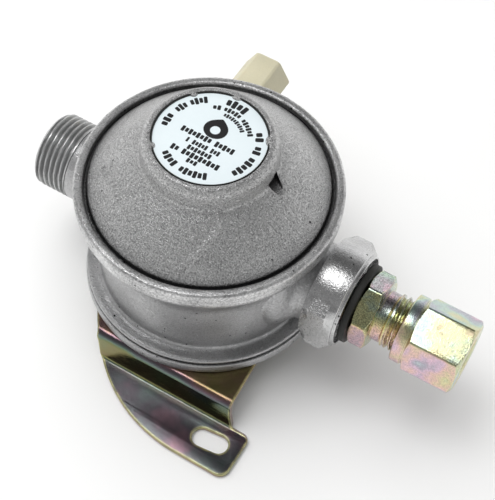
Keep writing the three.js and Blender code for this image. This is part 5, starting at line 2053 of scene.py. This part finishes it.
# ------------------------------------------------------------------ fittings
@dataclass
class OutletFitting:
    """The compression fitting: seal, threaded stub, cutting ring and nut."""

    bench: Bench
    finishes: Finishes
    seal_start: float = 0.04185
    seal_end: float = 0.04365
    seal_radius: float = 0.0103
    screw_radius: float = 0.007
    hex_flats: float = 0.017
    hex_start: float = 0.0437
    hex_end: float = 0.0486
    neck: float = 0.0064
    thread_start: float = 0.0516
    thread_end: float = 0.0626
    thread_crest: float = 0.00693
    bore: float = 0.003
    pipe: float = 0.00405
    nut_start: float = 0.0551
    nut_collar: float = 0.0087
    nut_hex: float = 0.0581
    nut_bore: float = 0.007

    def stub(self) -> Mesh:
        """The stub: screwed end, hexagon, neck, thread and coned mouth.

        Returns:
            The mesh.
        """
        bar = HexBar(self.hex_flats, self.hex_start, self.hex_end, 34.0)
        thread = Thread(self.thread_start, self.thread_end, self.thread_crest)
        root = self.thread_crest - thread.depth
        back = self.hex_start - 0.008
        outline = [
            (self.bore, back),
            (self.screw_radius - 0.0008, back),
            (self.screw_radius, back + 0.0008),
            (self.screw_radius, self.hex_start - 0.0001),
            *bar.stations(),
            (self.neck + 0.0006, self.hex_end),
            (self.neck + 0.0001, self.hex_end + 0.0002),
            (self.neck, self.hex_end + 0.0006),
            (self.neck, self.thread_start - 0.0006),
            (root + 0.0001, self.thread_start - 0.0001),
            *[(min(r, root + (self.thread_end - h) * 1.0), h) for r, h in thread.stations()],
            (root - 0.0002, self.thread_end),
            (0.00525, self.thread_end),
            (self.pipe, self.thread_end - 0.0056),
            (self.pipe, self.thread_end - 0.007),
            (self.bore, self.thread_end - 0.007),
        ]
        rule = all_rules(bar.radius, thread.radius)
        return self.bench.turned("outlet_stub_turned", outline, Axis.X, 180, rule=rule)

    def nut(self) -> Mesh:
        """The nut: collar, hexagon and coned bore.

        Returns:
            The mesh.
        """
        end = self.bench.span("compression_nut", Axis.X)[1]
        bar = HexBar(self.hex_flats, self.nut_hex, end, 18.0)
        outline = [
            (self.nut_bore, self.nut_start + 0.0004),
            (self.nut_bore + 0.0004, self.nut_start),
            *rounded(
                [
                    (self.nut_collar - 0.0012, self.nut_start),
                    (self.nut_collar, self.nut_start),
                    (self.nut_collar, self.nut_hex - 0.00035),
                    (self.hex_flats / 2 - 0.0001, self.nut_hex - 0.0003),
                    (self.hex_flats / 2 - 0.0001, self.nut_hex - 0.0001),
                ],
                0.00045,
            ),
            *bar.stations(),
            *rounded(
                [
                    (0.0063, end),
                    (0.0052, end),
                    (0.00415, end - 0.0009),
                    (0.00415, end - 0.0032),
                ],
                0.0003,
            ),
            (self.nut_bore, end - 0.006),
        ]
        return self.bench.turned("compression_nut_turned", outline, Axis.X, 240, rule=bar.radius)

    def ring(self) -> Mesh:
        """The cutting ring.

        Returns:
            The mesh.
        """
        low, high = self.bench.span("cutting_ring", Axis.X)
        corners: list[Corner] = [
            (self.pipe, low),
            (0.0045, low),
            (0.00495, low + 0.0031),
            (0.0058, low + 0.00315),
            (0.0058, high - 0.0012),
            (0.0046, high),
            (self.pipe, high),
        ]
        outline = rounded(corners, 0.0002, 4, closed=True)
        return self.bench.turned("cutting_ring_turned", outline, Axis.X, 96)

    def seal(self) -> Mesh:
        """The flat seal behind the stub's hexagon.

        Returns:
            The mesh.
        """
        inner = self.screw_radius + 0.00007
        corners: list[Corner] = [
            (inner, self.seal_start),
            (self.seal_radius, self.seal_start),
            (self.seal_radius, self.seal_end),
            (inner, self.seal_end),
        ]
        outline = rounded(corners, 0.0003, 5, closed=True)
        return self.bench.turned("outlet_seal_ring", outline, Axis.X, 128)

    def build(self) -> None:
        """Makes the fitting's four pieces."""
        finishes = self.finishes
        self.bench.piece(self.seal(), finishes.rubber, Slot.RUBBER, ["outlet_seal"])
        self.bench.piece(self.stub(), finishes.stub, Slot.RAINBOW, ["outlet_stub"], 26.0)
        self.bench.piece(self.ring(), finishes.brass, Slot.BRASS, ["cutting_ring"], rides=Body.OLIVE)
        self.bench.piece(self.nut(), finishes.nut, Slot.RAINBOW, ["compression_nut"], 26.0, Body.NUT)


@dataclass
class InletFilter:
    """The gauze filter in the inlet's bore."""

    bench: Bench
    finishes: Finishes
    radius: float = 0.00495

    def build(self) -> None:
        """Makes a shallow gauze cup in a ring."""
        low, high = self.bench.span("inlet_filter", Axis.X)
        corners: list[Corner] = [
            (0.0, low + 0.0002),
            (self.radius - 0.0012, low + 0.0007, 0.0004),
            (self.radius - 0.0009, low),
            (self.radius, low),
            (self.radius, high),
            (0.0, high),
        ]
        mesh = self.bench.turned("inlet_filter_gauze", rounded(corners, 0.0002), Axis.X, 96)
        self.bench.piece(mesh, self.finishes.gauze, Slot.STEEL, ["inlet_filter"])


@dataclass
class TestPoint:
    """The brass test nipple with its washer and plastic cap."""

    bench: Bench
    finishes: Finishes
    across: float = -0.013
    boss_end: float = 0.0346
    nipple_flats: float = 0.0096
    nipple_stem: float = 0.0039
    nipple_bore: float = 0.0012
    cap_flats: float = 0.012
    cap_bore: float = 0.00397

    def nipple(self) -> Mesh:
        """The nipple: screw, hexagon and threaded stem.

        Returns:
            The mesh.
        """
        low, high = self.bench.span("test_nipple", Axis.Y)
        hex_start, hex_end = self.boss_end + 0.00005, self.boss_end + 0.00495
        bar = HexBar(self.nipple_flats, hex_start, hex_end, 0.0, (False, True))
        thread = Thread(hex_end + 0.0008, high, self.nipple_stem, pitch=0.001, depth=0.0005)
        outline = [
            (self.nipple_bore, low),
            (0.0029, low),
            (0.0034, low + 0.0006),
            (0.0034, hex_start - 0.0001),
            *bar.stations(),
            (self.nipple_stem - 0.0003, hex_end),
            (self.nipple_stem - 0.0003, hex_end + 0.0006),
            *[(min(r, self.nipple_stem - 0.0007 + (high - h)), h) for r, h in thread.stations()],
            (self.nipple_bore + 0.0008, high),
            (self.nipple_bore, high - 0.0006),
        ]
        rule = all_rules(bar.radius, thread.radius)
        at = (self.across, 0.0)
        return self.bench.turned("test_nipple_turned", outline, Axis.Y, 120, at, rule)

    def cap(self) -> Mesh:
        """The hexagonal cap, closed at its outer end.

        Returns:
            The mesh.
        """
        low, high = self.bench.span("test_cap", Axis.Y)
        seal_end = self.bench.span("test_cap_seal", Axis.Y)[1]
        corner = self.cap_flats / 2 / math.cos(math.pi / 6) - 0.00018
        bar = HexBar(self.cap_flats, low, high, 0.0)
        corners: list[Corner] = [
            (0.0, seal_end + 0.00005),
            (self.cap_bore, seal_end + 0.00005),
            (self.cap_bore, low),
            (self.cap_flats / 2, low, 0.0),
            (corner, low, 0.0004),
            (corner, high, 0.0004),
            (self.cap_flats / 2, high, 0.0),
            (0.0, high),
        ]

        def rule(radius: float, height: float, angle: float) -> float:
            """Holds the radius to flats that round off at both ends.

            Args:
                radius: The plain outline's radius.
                height: Place along the axis.
                angle: Place round the axis.

            Returns:
                The radius, held to the flats.
            """
            near = min(height - low, high - height)
            round_off = 0.0003 * (1 - ease(near / 0.0004)) if radius > self.cap_bore + 0.0005 else 0.0
            return bar.radius(radius, height, angle) - round_off

        outline = rounded(corners, 0.0003, 6)
        return self.bench.turned("test_cap_moulding", outline, Axis.Y, 240, (self.across, 0.0), rule)

    def washer(self) -> Mesh:
        """The washer inside the cap.

        Returns:
            The mesh.
        """
        low, high = self.bench.span("test_cap_seal", Axis.Y)
        corners: list[Corner] = [(0.0, low), (0.0037, low), (0.0037, high), (0.0, high)]
        outline = rounded(corners, 0.0002)
        return self.bench.turned("test_cap_seal_disc", outline, Axis.Y, 64, (self.across, 0.0))

    def build(self) -> None:
        """Makes the nipple, washer and cap."""
        finishes, piece = self.finishes, self.bench.piece
        piece(self.nipple(), finishes.brass, Slot.BRASS, ["test_nipple"], 26.0)
        piece(self.washer(), finishes.rubber, Slot.RUBBER, ["test_cap_seal"], rides=Body.CAP_WASHER)
        piece(self.cap(), finishes.beige, Slot.BEIGE, ["test_cap"], 28.0, Body.CAP)


# ------------------------------------------------------------------ springs and diaphragms
@dataclass(frozen=True)
class SpringSpec:
    """A compression spring, the body that it stands on, and the joint that shortens it."""

    node: str
    coil: float
    wire: float
    turns: float
    body: Body = Body.HOUSING
    joint: str = ""
    travel: float = 0.0
    anchored_at_top: bool = False


@dataclass
class Springs:
    """The four springs, with closed end coils."""

    bench: Bench
    finishes: Finishes
    specs: tuple[SpringSpec, ...] = (
        SpringSpec("main_spring", 0.0084, 0.0012, 5.0, Body.HOUSING, "diaphragm_lift", 0.003, True),
        SpringSpec("relief_spring", 0.0031, 0.0006, 5.0, Body.DIAPHRAGM, "relief_open", 0.001),
        SpringSpec("first_stage_spring", 0.007, 0.0016, 3.5, Body.HOUSING, "first_stage_drop", 0.0008),
    )
    poppet: SpringSpec = SpringSpec("poppet_spring", 0.0019, 0.0004, 4.0)
    end_turns: float = 0.9

    def coil(self, spec: SpringSpec) -> Mesh:
        """The wire of one spring, which lies flat at both ends.

        Args:
            spec: The spring's sizes.

        Returns:
            The mesh.
        """
        low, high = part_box(spec.node)
        bottom, top = low.z + spec.wire / 2, high.z - spec.wire / 2
        steps = round(spec.turns * 40)
        free = spec.turns - 2 * self.end_turns
        closed = self.end_turns * spec.wire * 1.05
        centre = self.bench.datum
        path = []
        for i in range(steps + 1):
            turn = spec.turns * i / steps
            angle = TURN * turn
            if turn < self.end_turns:
                height = bottom + spec.wire * 1.05 * turn
            elif turn > spec.turns - self.end_turns:
                height = top - spec.wire * 1.05 * (spec.turns - turn)
            else:
                height = lerp(bottom + closed, top - closed, (turn - self.end_turns) / free)
            x, y = centre.x + spec.coil * math.cos(angle), centre.y + spec.coil * math.sin(angle)
            path.append(Vector((x, y, height)))
        return self.bench.tube(spec.node + "_coil", path, spec.wire / 2)

    def build(self) -> None:
        """Makes the springs."""
        finish = self.finishes.spring
        for spec in self.specs:
            made = self.bench.piece(self.coil(spec), finish, Slot.SPRING, [spec.node], rides=spec.body)
            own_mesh(made)
        spec = self.poppet
        made = self.bench.piece(self.coil(spec), finish, Slot.SPRING, [spec.node], rides=None)
        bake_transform(made)


@dataclass(frozen=True)
class DiaphragmSpec:
    """A clamped rubber diaphragm with one rolled fold."""

    node: str
    body: Body
    rim: float
    fold_outer: float
    fold_inner: float
    hole: float
    clamp: float
    centre: float
    fold_height: float


@dataclass
class Diaphragms:
    """The large and the small diaphragm."""

    bench: Bench
    finishes: Finishes
    thickness: float = 0.00095
    specs: tuple[DiaphragmSpec, ...] = (
        DiaphragmSpec(
            "large_diaphragm",
            Body.DIAPHRAGM,
            rim=0.0308,
            fold_outer=0.0236,
            fold_inner=0.0161,
            hole=0.00405,
            clamp=0.014525,
            centre=0.013025,
            fold_height=0.0034,
        ),
        DiaphragmSpec(
            "first_stage_diaphragm",
            Body.FIRST_STAGE,
            rim=0.0308,
            fold_outer=0.0196,
            fold_inner=0.0106,
            hole=0.00165,
            clamp=-0.015425,
            centre=-0.014425,
            fold_height=0.0016,
        ),
    )

    def sheet(self, spec: DiaphragmSpec) -> Mesh:
        """The moulded disc.

        Args:
            spec: The diaphragm's sizes.

        Returns:
            The mesh.
        """
        fold = [
            (
                lerp(spec.fold_outer, spec.fold_inner, t),
                lerp(spec.clamp, spec.centre, t) + spec.fold_height * math.sin(math.pi * t),
            )
            for t in spaced(0, 1, 14)
        ]
        line = [
            (spec.rim, spec.clamp),
            (spec.fold_outer + 0.0008, spec.clamp),
            *fold,
            (spec.fold_inner - 0.0008, spec.centre),
            (spec.hole, spec.centre),
        ]
        points = np.array(line)
        along = np.gradient(points, axis=0)
        along /= np.linalg.norm(along, axis=1)[:, None]
        normals = np.stack((-along[:, 1], along[:, 0]), axis=1) * self.thickness / 2
        outline = [*map(tuple, points + normals), *map(tuple, (points - normals)[::-1])]
        return self.bench.turned(spec.node + "_moulding", outline, sides=96)

    def build(self) -> None:
        """Makes both diaphragms, each moulded with a fold between its clamp and its centre."""
        rubber = self.finishes.rubber
        for spec in self.specs:
            made = self.bench.piece(self.sheet(spec), rubber, Slot.RUBBER, [spec.node], rides=None)
            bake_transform(made)


@dataclass
class Internals:
    """The CAD nodes that show as they are, with finishes of their own."""

    nodes: dict[str, Object]
    finishes: Finishes

    def kinds(self) -> dict[str, Finish]:
        """Each node's finish.

        Returns:
            The finish of each named node.
        """
        made = self.finishes
        named: dict[Finish, tuple[str, ...]] = {
            made.steel: (
                "upper_diaphragm_plate",
                "lower_diaphragm_plate",
                "relief_spring_cap",
                "relief_nut",
                "valve_lever",
                "lever_pin",
                "first_stage_upper_plate",
                "first_stage_lower_plate",
            ),
            made.brass: (
                "diaphragm_hub",
                "relief_stem",
                "valve_plunger",
                "valve_nozzle",
                "push_pin",
                "first_stage_seat",
                "poppet",
                "first_stage_plug",
            ),
            made.rubber: ("relief_pad", "valve_pad", "poppet_pad"),
            made.black: ("spring_seat", "adjusting_screw"),
        }
        return {node: finish for finish, nodes in named.items() for node in nodes}

    def build(self) -> None:
        """Dresses the nodes."""
        for name, finish in self.kinds().items():
            mesh = self.nodes[name].data
            mesh.materials.clear()
            mesh.materials.append(finish.material())
            LOG.info("%s: dressed in %s", name, finish.name)


# ------------------------------------------------------------------ studio
@dataclass(frozen=True)
class FloorPaint(Finish):
    """A plain pale floor."""

    colour: Colour = (0.90, 0.90, 0.895)

    def fill(self, nodes: Nodes, shader: Node) -> None:
        """Pale paint with a barely visible unevenness.

        Args:
            nodes: The material's nodes.
            shader: Its Principled shader.
        """
        cloud = nodes.noise(nodes.place(), 14.0, 3.0)
        dull = tuple(c * 0.985 for c in self.colour)
        colour = nodes.blend(nodes.stretch(cloud, 0.3, 0.7), self.colour, dull)
        shader.inputs["Roughness"].default_value = 0.6
        shader.inputs["Specular IOR Level"].default_value = 0.25
        self.join(nodes, shader, Base_Color=colour)


@dataclass
class Studio:
    """The camera, lights, sky and floor."""

    bench: Bench
    azimuth: float = 27.75
    elevation: float = 57.04
    roll: float = -3.36
    distance: float = 0.3103
    target: tuple[float, float, float] = (0.0109, 0.0006, -0.0030)
    lens: float = 88.96
    sensor: float = 36.0
    floor_half: float = 4.0
    before: tuple[tuple[float, float], ...] = (  # height in the sky and brightness, on the camera's side
        (0.00, 1.00),
        (0.15, 0.75),
        (0.35, 0.40),
        (0.55, 0.32),
        (0.72, 0.25),
        (0.90, 0.18),
        (1.00, 0.30),
    )
    behind: tuple[tuple[float, float], ...] = (  # the same on the far side
        (0.00, 1.25),
        (0.22, 1.15),
        (0.42, 0.55),
        (0.62, 0.16),
        (0.88, 0.08),
        (1.00, 0.30),
    )

    def camera(self) -> None:
        """The camera, which is a little rolled."""
        a, e, r = (math.radians(v) for v in (self.azimuth, self.elevation, self.roll))
        back = Vector((math.sin(a) * math.cos(e), -math.cos(a) * math.cos(e), math.sin(e)))
        right = Vector((math.cos(a), math.sin(a), 0))
        up = back.cross(right)
        across = right * math.cos(r) - up * math.sin(r)
        upward = right * math.sin(r) + up * math.cos(r)
        data = bpy.data.cameras.new("camera")
        data.lens, data.sensor_width = self.lens, self.sensor
        data.clip_start, data.clip_end = 0.01, 50.0
        made = bpy.data.objects.new("camera", data)
        to_scene(made)
        matrix = Matrix((across, upward, back)).transposed().to_4x4()
        matrix.translation = self.bench.datum + Vector(self.target) + back * self.distance
        made.matrix_world = matrix
        bpy.context.scene.camera = made

    def lamp(
        self,
        name: str,
        towards: tuple[float, float, float],
        distance: float,
        size: float,
        watts: float,
        mirrored: bool = True,
    ) -> None:
        """A round soft light that faces the regulator.

        Args:
            name: Its name.
            towards: The direction that it lies in.
            distance: How far away it is.
            size: How wide it is.
            watts: Its power.
            mirrored: Whether it shows in polished metal.
        """
        data = bpy.data.lights.new(name, "AREA")
        data.shape, data.size, data.energy = "DISK", size, watts
        made = bpy.data.objects.new(name, data)
        to_scene(made)
        direction = Vector(towards).normalized()
        made.location = self.bench.datum + direction * distance
        made.rotation_mode = "QUATERNION"
        made.rotation_quaternion = direction.to_track_quat("Z", "Y")
        made.visible_glossy = mirrored

    def sky(self) -> None:
        """A pale surround: bright low down, dimmer above, as in a white tent open at the top."""
        world = bpy.data.worlds.new("surround")
        world.use_nodes = True
        world.node_tree.nodes.clear()
        nodes = Nodes(world.node_tree)
        direction = nodes.add("ShaderNodeTexCoord").outputs["Generated"]
        height = _height(nodes, direction)
        far = _dot(nodes, direction, (-0.5, 0.87, 0.0))
        skies = (self.before, self.behind)
        ramps = [nodes.ramp(height, [(z, (b, b, b)) for z, b in stops]) for stops in skies]
        tone = nodes.blend(nodes.stretch(far, -0.4, 0.5), ramps[0], ramps[1])
        background = nodes.add("ShaderNodeBackground", {"Color": tone, "Strength": 1.0})
        output = nodes.add("ShaderNodeOutputWorld")
        nodes.tree.links.new(background.outputs[0], output.inputs[0])
        bpy.context.scene.world = world

    def floor(self, height: float) -> None:
        """The floor, a plain sheet under the feet.

        Args:
            height: Where the feet stand.
        """
        half = self.floor_half
        corners = [(u * half, v * half, height - 0.00005) for u, v in SQUARE]
        mesh = new_mesh("floor", corners, [(0, 1, 2, 3)])
        mesh.materials.append(FloorPaint("pale_floor").material())
        made = bpy.data.objects.new("floor", mesh)
        to_scene(made)
        made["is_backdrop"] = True

    def build(self, floor_height: float) -> None:
        """Sets up the studio.

        Args:
            floor_height: Where the feet stand.
        """
        bpy.context.scene.view_settings.view_transform = "Standard"
        self.camera()
        self.sky()
        self.lamp("overhead", (-0.25, -0.10, 0.96), distance=0.9, size=0.42, watts=2.0)
        self.lamp("canopy", (-0.30, 0.05, 1.0), distance=0.8, size=1.2, watts=7.0, mirrored=False)
        self.floor(floor_height)


def main() -> None:
    """Builds the regulator round its frame."""
    logging.basicConfig(level=logging.INFO, format="%(message)s")
    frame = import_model()
    cad_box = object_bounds()
    bench = Bench.from_frame()
    finishes = Finishes()
    Studio(bench).build(cad_box[0].z)
    BodyCasting(bench, finishes).build(frame["nodes"]["body_casting"])
    SpringCover(bench, finishes).build()
    RatingPlate(bench, finishes).build()
    BottomCover(bench, finishes).build()
    Bracket(bench, finishes).build()
    OutletFitting(bench, finishes).build()
    InletFilter(bench, finishes).build()
    TestPoint(bench, finishes).build()
    Springs(bench, finishes).build()
    Diaphragms(bench, finishes).build()
    Internals(frame["nodes"], finishes).build()


if __name__ == "__main__":
    main()
